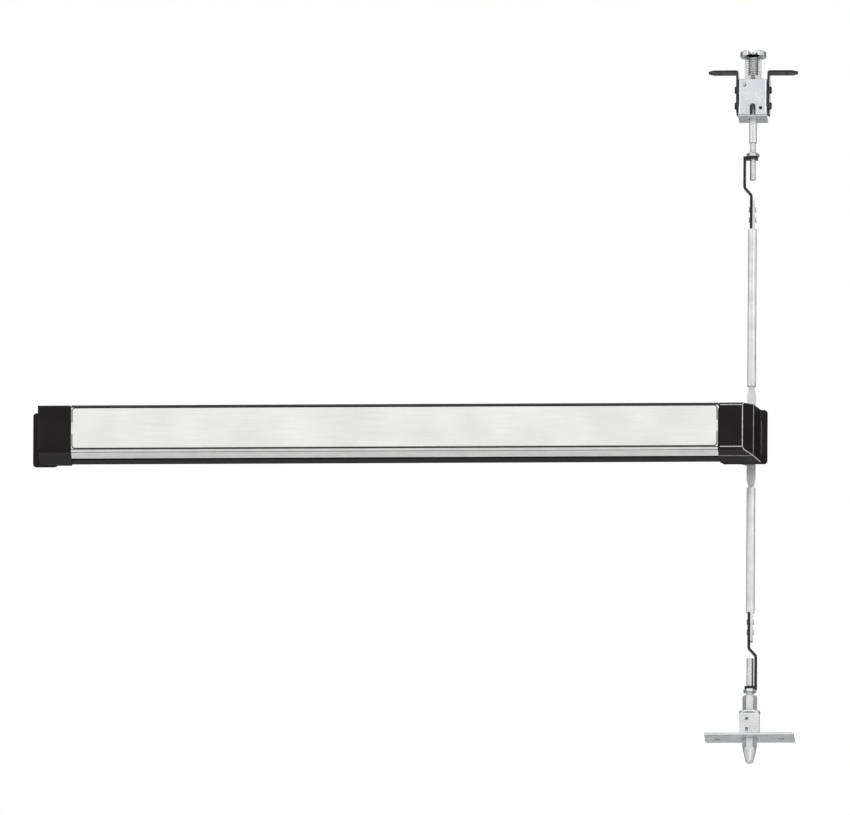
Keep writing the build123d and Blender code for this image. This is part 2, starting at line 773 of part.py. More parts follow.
def drive_arm(side):
    """Arm in the case that the yoke moves; its pin stands forward into the yoke's slot."""
    turn = side * (lift_degrees - 90)
    arm = front_plane(lever_line, drive_arm_front + arm_thick, side * lever_height, turn)
    with BuildPart() as piece:
        extrude(link_outline(arm, lever_drive_arm, arm_root, drive_arm_tip), arm_thick)
        with BuildSketch(arm):
            Circle(shaft_radius)
        extrude(amount=arm_thick, mode=Mode.SUBTRACT)
        with BuildSketch(arm):
            with Locations((lever_drive_arm, 0)):
                Circle(drive_pin_radius)
        extrude(amount=arm_thick + yoke_thick + 1.5)
    return piece


def lift_arm(side):
    """Arm inside the door; its pin stands back through the rod's tang."""
    arm = front_plane(lever_line, lift_arm_back, side * lever_height, side * lift_degrees)
    with BuildPart() as piece:
        extrude(link_outline(arm, lever_rod_reach, arm_root, lift_arm_tip), arm_thick)
        with BuildSketch(arm):
            Circle(shaft_radius)
        extrude(amount=arm_thick, mode=Mode.SUBTRACT)
        with BuildSketch(arm):
            with Locations((lever_rod_reach, 0)):
                Circle(lift_pin_radius)
        extrude(amount=-(lift_pin_end - lift_arm_back))
    return piece


for label, side in (("upper", 1), ("lower", -1)):
    save(lever_shaft(side), f"{label}_lever_shaft")
    save(drive_arm(side), f"{label}_drive_arm")
    save(lift_arm(side), f"{label}_lift_arm")

# Rods: round bars inside the door, flattened at both ends
rod_radius = 5.0
tang_width = 10.3
tang_corner = 2.0
tang_end_margin = 5.5
rod_pin_height = lever_height + rod_travel / 2
upper_neck_start = lever_height + 36.2
lower_neck_start = lever_height + 25.0
neck_length = 9.7
neck_tip = (5.5, 5.0)
upper_rod_end = upper_reach - 206.6
lower_rod_end = lower_reach - 176.7
outer_tang_length = 33.6
outer_tang_width = 10.0
connector_thick = 3.0
lap_clear = 0.6
rivet_heights = [11.0, 22.8]    # strap rivets above the end of the round bar
lift_pin_reach = lever_rod_reach * math.cos(half_lever)
hole_from = lever_line + lift_pin_reach
hole_to = lever_line + lever_rod_reach
strap_rivet_radius = 1.8


def rod(side, neck_start, end):
    """One rod, drawn from the case outwards; side is 1 for up and -1 for down."""
    rod_start = neck_start + neck_length
    with BuildPart() as piece:
        # flat tang with the oblong hole for the lever's pin
        tang_start = rod_pin_height - tang_end_margin
        with BuildSketch(Plane.XZ.offset(-rod_depth - tang_thick / 2)):
            with Locations((0, side * (tang_start + neck_start) / 2)):
                RectangleRounded(tang_width, neck_start - tang_start, tang_corner)
            with Locations((0, side * (neck_start - tang_corner))):
                Rectangle(tang_width, 2 * tang_corner)
            with Locations(((hole_from + hole_to) / 2, side * rod_pin_height)):
                SlotCenterToCenter(hole_to - hole_from, 2 * (lift_pin_radius + slide_gap),
                                   mode=Mode.SUBTRACT)
        extrude(amount=tang_thick)
        # neck between the tang and the round bar
        with BuildSketch(Plane.XY.offset(side * neck_start)):
            with Locations((0, rod_depth)):
                Rectangle(tang_width, tang_thick)
        with BuildSketch(Plane.XY.offset(side * rod_start)):
            with Locations((0, rod_depth)):
                Rectangle(*neck_tip)
        loft()
        with BuildSketch(Plane.XY.offset(side * rod_start)):
            with Locations((0, rod_depth)):
                Circle(rod_radius)
        extrude(amount=side * (end - rod_start))
        # outer tang, beside the strap connector
        with BuildSketch(Plane.YZ):
            with Locations((rod_depth, side * (end + outer_tang_length / 2 - 1))):
                Rectangle(outer_tang_width, outer_tang_length + 2)
            with Locations(*[(rod_depth, side * (end + height)) for height in rivet_heights]):
                Circle(strap_rivet_radius, mode=Mode.SUBTRACT)
        extrude(amount=connector_thick)
    return piece


save(rod(1, upper_neck_start, upper_rod_end), "upper_rod")
save(rod(-1, lower_neck_start, lower_rod_end), "lower_rod")

# Strap connectors: bent straps that carry the threaded adjusters on the rod line
strap_width = 11.0
flange_past_axis = 6.0
flange_thick = 3.0
strap_jog_rise = 9.0


def strap_connector(side, end, jog, leg, leg_end, hole_radius):
    """A strap beside the rod's tang, a jog in X, a leg and a flange bent back over the rod line."""
    inner = -connector_thick
    jog_end = leg_end - leg
    jog_start = jog_end - strap_jog_rise
    with BuildPart() as piece:
        with BuildSketch(Plane.XZ.offset(-rod_depth - strap_width / 2)):
            with BuildLine():
                flange_x = -math.copysign(flange_past_axis, jog)
                near = inner if jog < 0 else 0
                far = 0 if jog < 0 else inner
                Polyline(
                    (near, side * (end + lap_clear)),
                    (near, side * jog_start),
                    (near + jog, side * jog_end),
                    (near + jog, side * leg_end),
                    (flange_x, side * leg_end),
                    (flange_x, side * (leg_end - flange_thick)),
                    (far + jog, side * (leg_end - flange_thick)),
                    (far + jog, side * jog_end),
                    (far, side * jog_start),
                    (far, side * (end + lap_clear)),
                    close=True,
                )
            make_face()
        extrude(amount=strap_width)
        with BuildSketch(Plane.XY.offset(side * leg_end)):
            with Locations((0, rod_depth)):
                Circle(hole_radius)
        extrude(amount=-side * flange_thick, mode=Mode.SUBTRACT)
        with BuildSketch(Plane.YZ.offset(inner)):
            with Locations(*[(rod_depth, side * (end + height)) for height in rivet_heights]):
                Circle(strap_rivet_radius)
        extrude(amount=connector_thick, mode=Mode.SUBTRACT)
    return piece


def strap_rivets(side, end):
    """Two rivets through strap and tang, with a round head on each side."""
    spots = [(rod_depth, side * (end + height)) for height in rivet_heights]
    head = 1.3
    with BuildPart() as piece:
        for start, radius, length in (
            (-connector_thick - head, strap_rivet_radius * 1.7, head),
            (-connector_thick, strap_rivet_radius, 2 * connector_thick),
            (connector_thick, strap_rivet_radius * 1.7, head),
        ):
            with BuildSketch(Plane.YZ.offset(start)):
                with Locations(*spots):
                    Circle(radius)
            extrude(amount=length)
    return piece


upper_jog = -7.7
upper_leg = 36.0
upper_leg_end = upper_reach - 122.0
upper_thread = 3.5
lower_jog = 8.0
lower_leg = 39.0
lower_leg_end = lower_reach - 87.0
lower_thread = 4.2
upper_ends = (upper_jog, upper_leg, upper_leg_end, upper_thread)
lower_ends = (lower_jog, lower_leg, lower_leg_end, lower_thread)
save(strap_connector(1, upper_rod_end, *upper_ends), "upper_strap")
save(strap_connector(-1, lower_rod_end, *lower_ends), "lower_strap")
save(strap_rivets(1, upper_rod_end), "upper_strap_rivets")
save(strap_rivets(-1, lower_rod_end), "lower_strap_rivets")

# Adjusters: a threaded rod through each flange, held by a hexagon nut
thread_bevel = 0.6
sleeve_start = upper_reach - 105.4
thread_in_sleeve = 6.0
nut_height = 4.0
nut_flat = 6.5
upper_thread_start = upper_leg_end - 27.0
lower_thread_start = lower_leg_end - 36.0
bolt_top = lower_reach - 79.0
with BuildPart() as upper_threaded_rod:
    with BuildSketch(Plane.XY.offset(upper_thread_start)):
        with Locations((0, rod_depth)):
            Circle(upper_thread)
    extrude(amount=sleeve_start + thread_in_sleeve - upper_thread_start)
    chamfer(upper_threaded_rod.edges().filter_by(GeomType.CIRCLE), thread_bevel)
save(upper_threaded_rod, "upper_threaded_rod")

with BuildPart() as lower_threaded_rod:
    with BuildSketch(Plane.XY.offset(-lower_thread_start)):
        with Locations((0, rod_depth)):
            Circle(lower_thread)
    extrude(amount=-(bolt_top + thread_in_sleeve - lower_thread_start))
    chamfer(lower_threaded_rod.edges().filter_by(GeomType.CIRCLE), thread_bevel)
save(lower_threaded_rod, "lower_threaded_rod")


def lock_nut(level, side, bore):
    """A hexagon nut on the flange."""
    with BuildPart() as nut:
        with BuildSketch(Plane.XY.offset(level)):
            with Locations((0, rod_depth)):
                RegularPolygon(nut_flat, 6, major_radius=False)
                Circle(bore, mode=Mode.SUBTRACT)
        extrude(amount=side * nut_height)
    return nut


save(lock_nut(upper_leg_end, 1, upper_thread), "upper_lock_nut")
save(lock_nut(-lower_leg_end, -1, lower_thread), "lower_lock_nut")

# Top latch: a sheet case in the door's top, two eared brackets beside it
latch_half = 16.5
latch_wall = 2.0
latch_half_depth = 17.0
latch_front = rod_depth - latch_half_depth
latch_back = rod_depth + latch_half_depth
latch_top = upper_reach - 34.0
latch_bottom = latch_top - 42.0
case_round_hole = 1.7
case_round_holes = [(-9.3, latch_top - 7.4), (9.1, latch_bottom + 8.0)]
case_slot_top = latch_bottom + 13.0
case_slot_half = 3.0
pivot_height = latch_top - 9.5
pivot_radius = 2.5
latch_rivet_height = pivot_height - 18.5
sleeve_radius = 4.5
side_rivets = [(rod_depth, pivot_height), (rod_depth, latch_rivet_height)]
with BuildPart() as latch_case:
    with BuildSketch(Plane.XY.offset(latch_bottom)):
        with BuildLine():
            inner_x = latch_half - latch_wall
            Polyline(
                (-latch_half, latch_back - latch_wall),
                (-latch_half, latch_front),
                (latch_half, latch_front),
                (latch_half, latch_back - latch_wall),
                (inner_x, latch_back - latch_wall),
                (inner_x, latch_front + latch_wall),
                (-inner_x, latch_front + latch_wall),
                (-inner_x, latch_back - latch_wall),
                close=True,
            )
        make_face()
    extrude(amount=latch_top - latch_bottom)
    with BuildSketch(Plane.XZ.offset(-latch_front - latch_wall)):
        with Locations(*case_round_holes):
            Circle(case_round_hole)
        with Locations((0, case_slot_top - case_slot_half)):
            Circle(case_slot_half)
        with Locations((0, (case_slot_top - case_slot_half + latch_bottom) / 2)):
            Rectangle(2 * case_slot_half, case_slot_top - case_slot_half - latch_bottom)
    extrude(amount=latch_wall, mode=Mode.SUBTRACT)
    with BuildSketch(Plane.YZ.offset(-latch_half)):
        with Locations(*side_rivets):
            Circle(pivot_radius)
    extrude(amount=2 * latch_half, mode=Mode.SUBTRACT)
save(latch_case, "latch_case")

# Latch case back: an L that closes the back and the bottom and guides the sleeve
with BuildPart() as latch_case_back:
    with BuildSketch(Plane.YZ.offset(-latch_half)):
        with BuildLine():
            Polyline(
                (latch_front, latch_bottom),
                (latch_front, latch_bottom - latch_wall),
                (latch_back, latch_bottom - latch_wall),
                (latch_back, latch_top),
                (latch_back - latch_wall, latch_top),
                (latch_back - latch_wall, latch_bottom),
                close=True,
            )
        make_face()
    extrude(amount=2 * latch_half)
    with BuildSketch(Plane.XY.offset(latch_bottom)):
        with Locations((0, rod_depth)):
            Circle(sleeve_radius + clear)
    extrude(amount=-latch_wall, mode=Mode.SUBTRACT)
save(latch_case_back, "latch_case_back")

# Eared brackets: each a side plate with its top bent outwards and a screw hole in the ear
ear_top = latch_top + 12.0
ear_tip = 51.0
ear_half = 8.5
ear_taper = 6.0
ear_tip_half = 2.5
ear_hole_x = 38.5
ear_hole_radius = 2.4
side_plate_low = latch_bottom + 4.0
side_plate_half = latch_half_depth
side_plate_corner = 7.0
shoulder_drop = 8.0
bracket_outer = latch_half + sheet


def eared_bracket(side):
    """Side is 1 for the lock edge and -1 for the other."""
    with BuildPart() as piece:
        with BuildSketch(Plane.YZ.offset(side * latch_half)):
            with BuildLine():
                Polyline(
                    (rod_depth - side_plate_half, ear_top - shoulder_drop),
                    (rod_depth - side_plate_half, side_plate_low + side_plate_corner),
                    (rod_depth - side_plate_half + side_plate_corner, side_plate_low),
                    (rod_depth + side_plate_half - side_plate_corner, side_plate_low),
                    (rod_depth + side_plate_half, side_plate_low + side_plate_corner),
                    (rod_depth + side_plate_half, ear_top - shoulder_drop),
                    (rod_depth + ear_half, ear_top),
                    (rod_depth - ear_half, ear_top),
                    close=True,
                )
            make_face()
            with Locations(*side_rivets):
                Circle(pivot_radius, mode=Mode.SUBTRACT)
        extrude(amount=side * sheet)
        with BuildSketch(Plane.XY.offset(ear_top - sheet)):
            with BuildLine():
                Polyline(
                    (side * latch_half, rod_depth - ear_half),
                    (side * (ear_tip - ear_taper), rod_depth - ear_half),
                    (side * ear_tip, rod_depth - ear_tip_half),
                    (side * ear_tip, rod_depth + ear_tip_half),
                    (side * (ear_tip - ear_taper), rod_depth + ear_half),
                    (side * latch_half, rod_depth + ear_half),
                    close=True,
                )
            make_face()
            with Locations((side * ear_hole_x, rod_depth)):
                Circle(ear_hole_radius, mode=Mode.SUBTRACT)
        extrude(amount=sheet)
    return piece


save(eared_bracket(-1), "top_bracket_left")
save(eared_bracket(1), "top_bracket_right")

# Short rivets that join the brackets to the case, and the stub pivots that the yoke hangs on
rivet_head = 2.2
rivet_head_taper = 12.0     # degrees
big_head_radius = 4.4
cheek_inner = 6.7
cheek_thick = 2.8
cheek_outer = cheek_inner + cheek_thick
with BuildPart() as latch_rivets:
    for side in (1, -1):
        with BuildSketch(Plane.YZ.offset(side * (latch_half - latch_wall))):
            with Locations((rod_depth, latch_rivet_height)):
                Circle(pivot_radius)
        extrude(amount=side * (latch_wall + sheet))
        with BuildSketch(Plane.YZ.offset(side * bracket_outer)):
            with Locations((rod_depth, latch_rivet_height)):
                Circle(big_head_radius)
        extrude(amount=side * rivet_head, taper=rivet_head_taper)
save(latch_rivets, "latch_rivets")

with BuildPart() as pivot_rivets:
    for side in (1, -1):
        for start, radius, length in (
            (cheek_inner + 0.2, pivot_radius, cheek_thick + 0.1),
            (cheek_outer + clear, pivot_radius + 1.5, latch_half - latch_wall - cheek_outer - clear),
            (latch_half - latch_wall, pivot_radius, latch_wall + sheet),
        ):
            with BuildSketch(Plane.YZ.offset(side * start)):
                with Locations((rod_depth, pivot_height)):
                    Circle(radius)
            extrude(amount=side * length)
        with BuildSketch(Plane.YZ.offset(side * bracket_outer)):
            with Locations((rod_depth, pivot_height)):
                Circle(big_head_radius)
        extrude(amount=side * rivet_head, taper=rivet_head_taper)
save(pivot_rivets, "pivot_rivets")

# Sleeve and cam shoe on the upper rod: the shoe's sloping slot tilts the yoke as the rod drops
shoe_bottom = pivot_height - 17.5
tail_arm = 10.0
tail_radius = 1.75
shoe_half = 4.5
shoe_front = rod_depth - 7.5
shoe_back = rod_depth + 8.5
shoe_slope = (3.0, 6.0)
tilt = math.radians(head_tilt)
tail_height = pivot_height - tail_arm
cam_end_y = rod_depth + tail_arm * math.sin(tilt)
cam_end_z = pivot_height - tail_arm * math.cos(tilt) + rod_travel
shoe_top = cam_end_z + tail_radius + slide_gap + 1.5
with BuildPart() as upper_sleeve:
    with BuildSketch(Plane.XY.offset(sleeve_start)):
        with Locations((0, rod_depth)):
            Circle(sleeve_radius)
    extrude(amount=shoe_bottom - sleeve_start)
    with BuildSketch(Plane.XY.offset(sleeve_start)):
        with Locations((0, rod_depth)):
            Circle(upper_thread)
    extrude(amount=thread_in_sleeve, mode=Mode.SUBTRACT)
save(upper_sleeve, "upper_sleeve")

with BuildPart() as cam_shoe:
    with BuildSketch(Plane.YZ.offset(-shoe_half)):
        with BuildLine():
            Polyline(
                (shoe_front, shoe_bottom),
                (shoe_back, shoe_bottom),
                (shoe_back, shoe_top),
                (shoe_front + shoe_slope[0], shoe_top),
                (shoe_front, shoe_top - shoe_slope[1]),
                close=True,
            )
        make_face()
        with Locations(((rod_depth + cam_end_y) / 2, (tail_height + cam_end_z) / 2)):
            slope = math.degrees(math.atan2(cam_end_z - tail_height, cam_end_y - rod_depth))
            SlotCenterToCenter(
                math.hypot(cam_end_z - tail_height, cam_end_y - rod_depth),
                2 * (tail_radius + slide_gap),
                rotation=slope,
                mode=Mode.SUBTRACT,
            )
    extrude(amount=2 * shoe_half)
save(cam_shoe, "cam_shoe")

# Yoke: two cheeks joined by a threaded bridge; it tilts on the stub pivots
cheek_low = pivot_height - 14.5
head_thick = 6.0
head_low = upper_reach - head_thick
cheek_top = head_low - 0.5
bridge_low = shoe_top + 2.5
bridge_high = bridge_low + 8.0
cheek_half = 6.0
cheek_corner = 2.5
stud_seat = bridge_low + 2.0
stud_radius = 6.35
with BuildPart() as yoke:
    for side in (1, -1):
        with BuildSketch(Plane.YZ.offset(side * cheek_inner)):
            with Locations((rod_depth, (cheek_low + cheek_top) / 2)):
                RectangleRounded(2 * cheek_half, cheek_top - cheek_low, cheek_corner)
            with Locations((rod_depth, pivot_height)):
                Circle(pivot_radius + running_gap, mode=Mode.SUBTRACT)
            with Locations((rod_depth, tail_height)):
                Circle(tail_radius, mode=Mode.SUBTRACT)
        extrude(amount=side * cheek_thick)
    with BuildSketch(Plane.XY.offset(bridge_low)):
        with Locations((0, rod_depth)):
            Rectangle(2 * cheek_inner, 2 * cheek_half)
    extrude(amount=bridge_high - bridge_low)
    with BuildSketch(Plane.XY.offset(stud_seat)):
        with Locations((0, rod_depth)):
            Circle(stud_radius)
    extrude(amount=bridge_high - bridge_low, mode=Mode.SUBTRACT)
save(yoke, "yoke")

with BuildPart() as tail_pin:
    with BuildSketch(Plane.YZ.offset(-cheek_outer)):
        with Locations((rod_depth, tail_height)):
            Circle(tail_radius)
    extrude(amount=2 * cheek_outer)
save(tail_pin, "tail_pin")

# Head bolt: a threaded stud under a slotted head, whose slot takes the strike pin from the front
head_radius = 15.0
head_forward = 3.5
head_centre = rod_depth - head_forward
slot_half = 5.5
slot_end = rod_depth - 7.0
pocket_half = 7.2
pocket_deep = 2.6
head_bevel = 0.8
with BuildPart() as head_bolt:
    with BuildSketch(Plane.XY.offset(head_low)):
        with Locations((0, head_centre)):
            Circle(head_radius)
    extrude(amount=head_thick)
    chamfer(head_bolt.faces().sort_by(Axis.Z)[-1].edges(), head_bevel)
    with BuildSketch(Plane.XY.offset(head_low)):
        with Locations((0, slot_end - slot_half)):
            Circle(slot_half)
        with Locations((0, slot_end - slot_half - head_radius)):
            Rectangle(2 * slot_half, 2 * head_radius)
    extrude(amount=head_thick, mode=Mode.SUBTRACT)
    with BuildSketch(Plane.XY.offset(head_low)):
        with Locations((0, slot_end - slot_half)):
            Circle(pocket_half)
    with BuildSketch(Plane.XY.offset(head_low + pocket_deep)):
        with Locations((0, slot_end - slot_half)):
            Circle(slot_half)
    loft(mode=Mode.SUBTRACT)
    with BuildSketch(Plane.XY.offset(stud_seat)):
        with Locations((0, rod_depth)):
            Circle(stud_radius)
    extrude(amount=head_low - stud_seat)
save(head_bolt, "head_bolt")

# Bottom bolt: a hexagon bar with a tapered, rounded tip, hanging from the lower rod
bolt_corner = 8.5
taper_start = lower_reach - 20.0
tip_radius = 4.5
stop_pin_height = lower_reach - 36.0
stop_pin_radius = 1.5
stop_pin_half = 8.6
with BuildPart() as bottom_bolt:
    with BuildSketch(Plane.XY.offset(-bolt_top)):
        with Locations((0, rod_depth)):
            RegularPolygon(bolt_corner, 6)
    extrude(amount=-(lower_reach - bolt_top))
    with BuildSketch(Plane.XZ.offset(-rod_depth)):
        with BuildLine():
            taper_end = lower_reach - tip_radius / 2
            Line((0, -bolt_top), (bolt_corner, -bolt_top))
            Line((bolt_corner, -bolt_top), (bolt_corner, -taper_start))
            Line((bolt_corner, -taper_start), (tip_radius, -taper_end))
            ThreePointArc(
                (tip_radius, -taper_end),
                (tip_radius * 0.6, -lower_reach + tip_radius * 0.1),
                (0, -lower_reach),
            )
            Line((0, -lower_reach), (0, -bolt_top))
        make_face()
    revolve(axis=Axis((0, rod_depth, 0), (0, 0, 1)), mode=Mode.INTERSECT)
    with BuildSketch(Plane.XY.offset(-bolt_top)):
        with Locations((0, rod_depth)):
            Circle(lower_thread)
    extrude(amount=-thread_in_sleeve, mode=Mode.SUBTRACT)
    with BuildSketch(Plane.XZ.offset(-rod_depth - bolt_corner)):
        with Locations((0, -stop_pin_height)):
            Circle(stop_pin_radius)
    extrude(amount=2 * bolt_corner, mode=Mode.SUBTRACT)
save(bottom_bolt, "bottom_bolt")

with BuildPart() as stop_pin:
    with BuildSketch(Plane.XZ.offset(-rod_depth - stop_pin_half)):
        with Locations((0, -stop_pin_height)):
            Circle(stop_pin_radius)
    extrude(amount=2 * stop_pin_half)
save(stop_pin, "stop_pin")

# Guide: a folded bracket round the bolt on the base plate, with a collar on top
plate_top = lower_reach - 32.0
base_thick = 3.0
base_half_length = 51.0
base_half_width = 19.0
guide_top = plate_top - 26.0
guide_front = rod_depth - 11.5
guide_back = rod_depth + 11.5
guide_inner = 9.2
guide_wall = 2.0
guide_outer = guide_inner + guide_wall
bolt_hole = bolt_corner + clear + 0.1
base_corner = 2.0
base_hole_x = 36.5
base_hole_radius = 2.6
base_hole_sink = 4.6
foot_reach = 19.0
foot_wide = 14.0
guide_hole_x = -3.0
guide_hole_radius = 1.5
guide_hole_drop = 8.0
guide_notch_rise = 6.0
guide_notch = (2.4, 3.6)
with BuildPart() as base_plate:
    with BuildSketch(Plane.XY.offset(-plate_top - base_thick)):
        with Locations((0, rod_depth)):
            RectangleRounded(2 * base_half_length, 2 * base_half_width, base_corner)
            Circle(bolt_hole, mode=Mode.SUBTRACT)
    extrude(amount=base_thick)
    with Locations((-base_hole_x, rod_depth, -plate_top), (base_hole_x, rod_depth, -plate_top)):
        CounterSinkHole(base_hole_radius, base_hole_sink, depth=base_thick)
save(base_plate, "base_plate")

with BuildPart() as guide_bracket:
    with BuildSketch(Plane.XY.offset(-plate_top)):
        with BuildLine():
            Polyline(
                (-guide_outer, guide_back),
                (-guide_outer, guide_front),
                (guide_outer, guide_front),
                (guide_outer, guide_back),
                (guide_inner, guide_back),
                (guide_inner, guide_front + guide_wall),
                (-guide_inner, guide_front + guide_wall),
                (-guide_inner, guide_back),
                close=True,
            )
        make_face()
    extrude(amount=plate_top - guide_top)
    with BuildSketch(Plane.XY.offset(-guide_top - guide_wall)):
        with Locations((0, (guide_front + guide_back) / 2)):
            Rectangle(2 * guide_outer, guide_back - guide_front)
        with Locations((0, rod_depth)):
            Circle(bolt_hole, mode=Mode.SUBTRACT)
    extrude(amount=guide_wall)
    with BuildSketch(Plane.XY.offset(-plate_top)):
        for side in (1, -1):
            with Locations((side * (guide_inner + foot_reach) / 2, rod_depth)):
                Rectangle(foot_reach - guide_inner, foot_wide)
    extrude(amount=guide_wall)
    with BuildSketch(Plane.XZ.offset(-guide_front - guide_wall)):
        with Locations((guide_hole_x, -guide_top - guide_hole_drop)):
            Circle(guide_hole_radius)
        with Locations((guide_hole_x, -plate_top + guide_notch_rise)):
            Rectangle(*guide_notch)
    extrude(amount=guide_wall, mode=Mode.SUBTRACT)
save(guide_bracket, "guide_bracket")

collar_high = 3.0
collar_radius = 12.0
with BuildPart() as guide_collar:
    with BuildSketch(Plane.XY.offset(-guide_top)):
        with Locations((0, rod_depth)):
            Circle(collar_radius)
            Circle(bolt_hole, mode=Mode.SUBTRACT)
    extrude(amount=collar_high)
save(guide_collar, "guide_collar")
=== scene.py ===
import json
import math

import bpy
from mathutils import Matrix, Vector

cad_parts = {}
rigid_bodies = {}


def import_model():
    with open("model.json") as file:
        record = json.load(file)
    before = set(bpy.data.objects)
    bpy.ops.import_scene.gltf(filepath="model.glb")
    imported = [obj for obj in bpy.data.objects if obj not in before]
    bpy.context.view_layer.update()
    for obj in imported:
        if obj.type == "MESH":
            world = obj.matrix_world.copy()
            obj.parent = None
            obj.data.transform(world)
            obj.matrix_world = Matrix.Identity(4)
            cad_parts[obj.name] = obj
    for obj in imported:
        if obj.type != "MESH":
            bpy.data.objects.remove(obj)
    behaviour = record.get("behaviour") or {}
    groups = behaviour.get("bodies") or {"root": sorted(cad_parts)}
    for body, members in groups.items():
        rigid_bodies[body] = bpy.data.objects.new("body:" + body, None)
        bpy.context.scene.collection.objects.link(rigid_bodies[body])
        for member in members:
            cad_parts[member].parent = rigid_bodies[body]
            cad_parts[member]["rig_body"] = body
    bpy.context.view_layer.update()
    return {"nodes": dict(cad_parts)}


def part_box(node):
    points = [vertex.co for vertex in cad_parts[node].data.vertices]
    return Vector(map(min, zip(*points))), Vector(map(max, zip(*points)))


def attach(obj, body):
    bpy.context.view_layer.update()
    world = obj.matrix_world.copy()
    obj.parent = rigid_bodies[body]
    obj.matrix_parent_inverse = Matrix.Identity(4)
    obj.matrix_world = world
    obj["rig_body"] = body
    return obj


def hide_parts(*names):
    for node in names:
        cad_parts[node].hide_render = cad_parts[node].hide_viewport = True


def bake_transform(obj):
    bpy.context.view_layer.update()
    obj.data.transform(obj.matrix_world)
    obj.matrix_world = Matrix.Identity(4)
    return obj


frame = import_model()
mm = 0.001

# Camera: a long-lens view from a little below and a little to the lock side, which shows the bar's underside.
# The rods' line on the door face falls on the picture point named here.
# The small roll shares the drawing's error between its level lines and its upright ones.
view_side = math.radians(2.5)
view_drop = math.radians(13.5)
view_roll = math.radians(-0.33)
picture_wide = 850
picture_high = 815
picture_point = 1.14 * mm
rod_line_place = (750.5, 437.6)
camera_away = 1.6

towards_camera = Vector((
    math.sin(view_side) * math.cos(view_drop),
    -math.cos(view_side) * math.cos(view_drop),
    -math.sin(view_drop),
))
level_right = Vector((math.cos(view_side), math.sin(view_side), 0))
level_up = towards_camera.cross(level_right)
picture_right = level_right * math.cos(view_roll) - level_up * math.sin(view_roll)
picture_up = level_up * math.cos(view_roll) + level_right * math.sin(view_roll)
across = (picture_wide / 2 - rod_line_place[0]) * picture_point
upwards = (rod_line_place[1] - picture_high / 2) * picture_point
looked_at = picture_right * across + picture_up * upwards

lens = bpy.data.cameras.new("long_lens")
lens.type = "ORTHO"
lens.ortho_scale = picture_wide * picture_point
lens.clip_end = 20
camera = bpy.data.objects.new("long_lens", lens)
camera.matrix_world = (
    Matrix.Translation(looked_at + towards_camera * camera_away)
    @ Matrix((picture_right, picture_up, towards_camera)).transposed().to_4x4()
)
bpy.context.scene.collection.objects.link(camera)
bpy.context.scene.camera = camera
bpy.context.scene.view_settings.view_transform = "Standard"


# Studio: a pale vinyl floor well below the bolt, a white background and soft light from four square panels.
# The panels are weak, so that near-white metal keeps its tone; the smallest is low, under the bar.
def add(tree, kind, sockets=None, **settings):
    """Add a node with its settings; each socket gets a value, or a link from another node's output."""
    node = tree.nodes.new(kind)
    for name, value in settings.items():
        setattr(node, name, value)
    for name, value in (sockets or {}).items():
        if isinstance(value, bpy.types.NodeSocket):
            tree.links.new(value, node.inputs[name])
        else:
            node.inputs[name].default_value = value
    return node


def linear(code):
    """An sRGB hex colour as linear red, green, blue and alpha."""
    parts = [int(code[i:i + 2], 16) / 255 for i in (1, 3, 5)]
    return [p / 12.92 if p <= 0.04045 else ((p + 0.055) / 1.055) ** 2.4 for p in parts] + [1]


def surface(name, light, dark, grain, relief, roughness, spread=0.05, metallic=0.0, specular=0.5,
            cloud=16 * mm):
    """A material of two tones in clouds, with a grain that is given by its size along X, Y and Z."""
    material = bpy.data.materials.new(name)
    material.use_nodes = True
    tree = material.node_tree
    shader = tree.nodes["Principled BSDF"]
    shader.inputs["Metallic"].default_value = metallic
    shader.inputs["Specular IOR Level"].default_value = specular
    place = add(tree, "ShaderNodeTexCoord").outputs["Object"]
    shrink = [1 / size for size in grain]
    stretched = add(tree, "ShaderNodeMapping", {"Vector": place, "Scale": shrink}).outputs[0]
    fine = {"Vector": stretched, "Scale": 1.0, "Detail": 3.0}
    broad = {"Vector": place, "Scale": 1 / cloud, "Detail": 4.0}
    lines = add(tree, "ShaderNodeTexNoise", fine).outputs["Fac"]
    clouds = add(tree, "ShaderNodeTexNoise", broad).outputs["Fac"]
    both = add(tree, "ShaderNodeMath", {0: lines, 1: clouds}, operation="MULTIPLY").outputs[0]
    share = add(tree, "ShaderNodeMapRange", {"Value": both, "From Min": 0.14, "From Max": 0.38}).outputs[0]
    tone = add(tree, "ShaderNodeMix", {0: share, 6: linear(dark), 7: linear(light)}, data_type="RGBA")
    tree.links.new(tone.outputs[2], shader.inputs["Base Color"])
    rough = add(tree, "ShaderNodeMapRange", {
        "Value": lines,
        "From Min": 0.3,
        "From Max": 0.7,
        "To Min": roughness - spread,
        "To Max": roughness + spread,
    })
    tree.links.new(rough.outputs[0], shader.inputs["Roughness"])
    bump = add(tree, "ShaderNodeBump", {"Height": lines, "Strength": 0.5, "Distance": relief})
    tree.links.new(bump.outputs[0], shader.inputs["Normal"])
    return material


def even(size):
    """A grain of the same size along X, Y and Z."""
    return (size, size, size)


floor_depth = 0.95
floor_span = 60
bpy.ops.object.select_all(action="DESELECT")
bpy.ops.mesh.primitive_plane_add(size=floor_span, location=(0, 0, -floor_depth))
floor = bpy.context.active_object
floor.name = "studio_floor"
pale_vinyl = surface("pale_vinyl", "#F6F5F3", "#F0EFED", even(4 * mm), 0.1 * mm, 0.75, specular=0.3)
floor.data.materials.append(pale_vinyl)

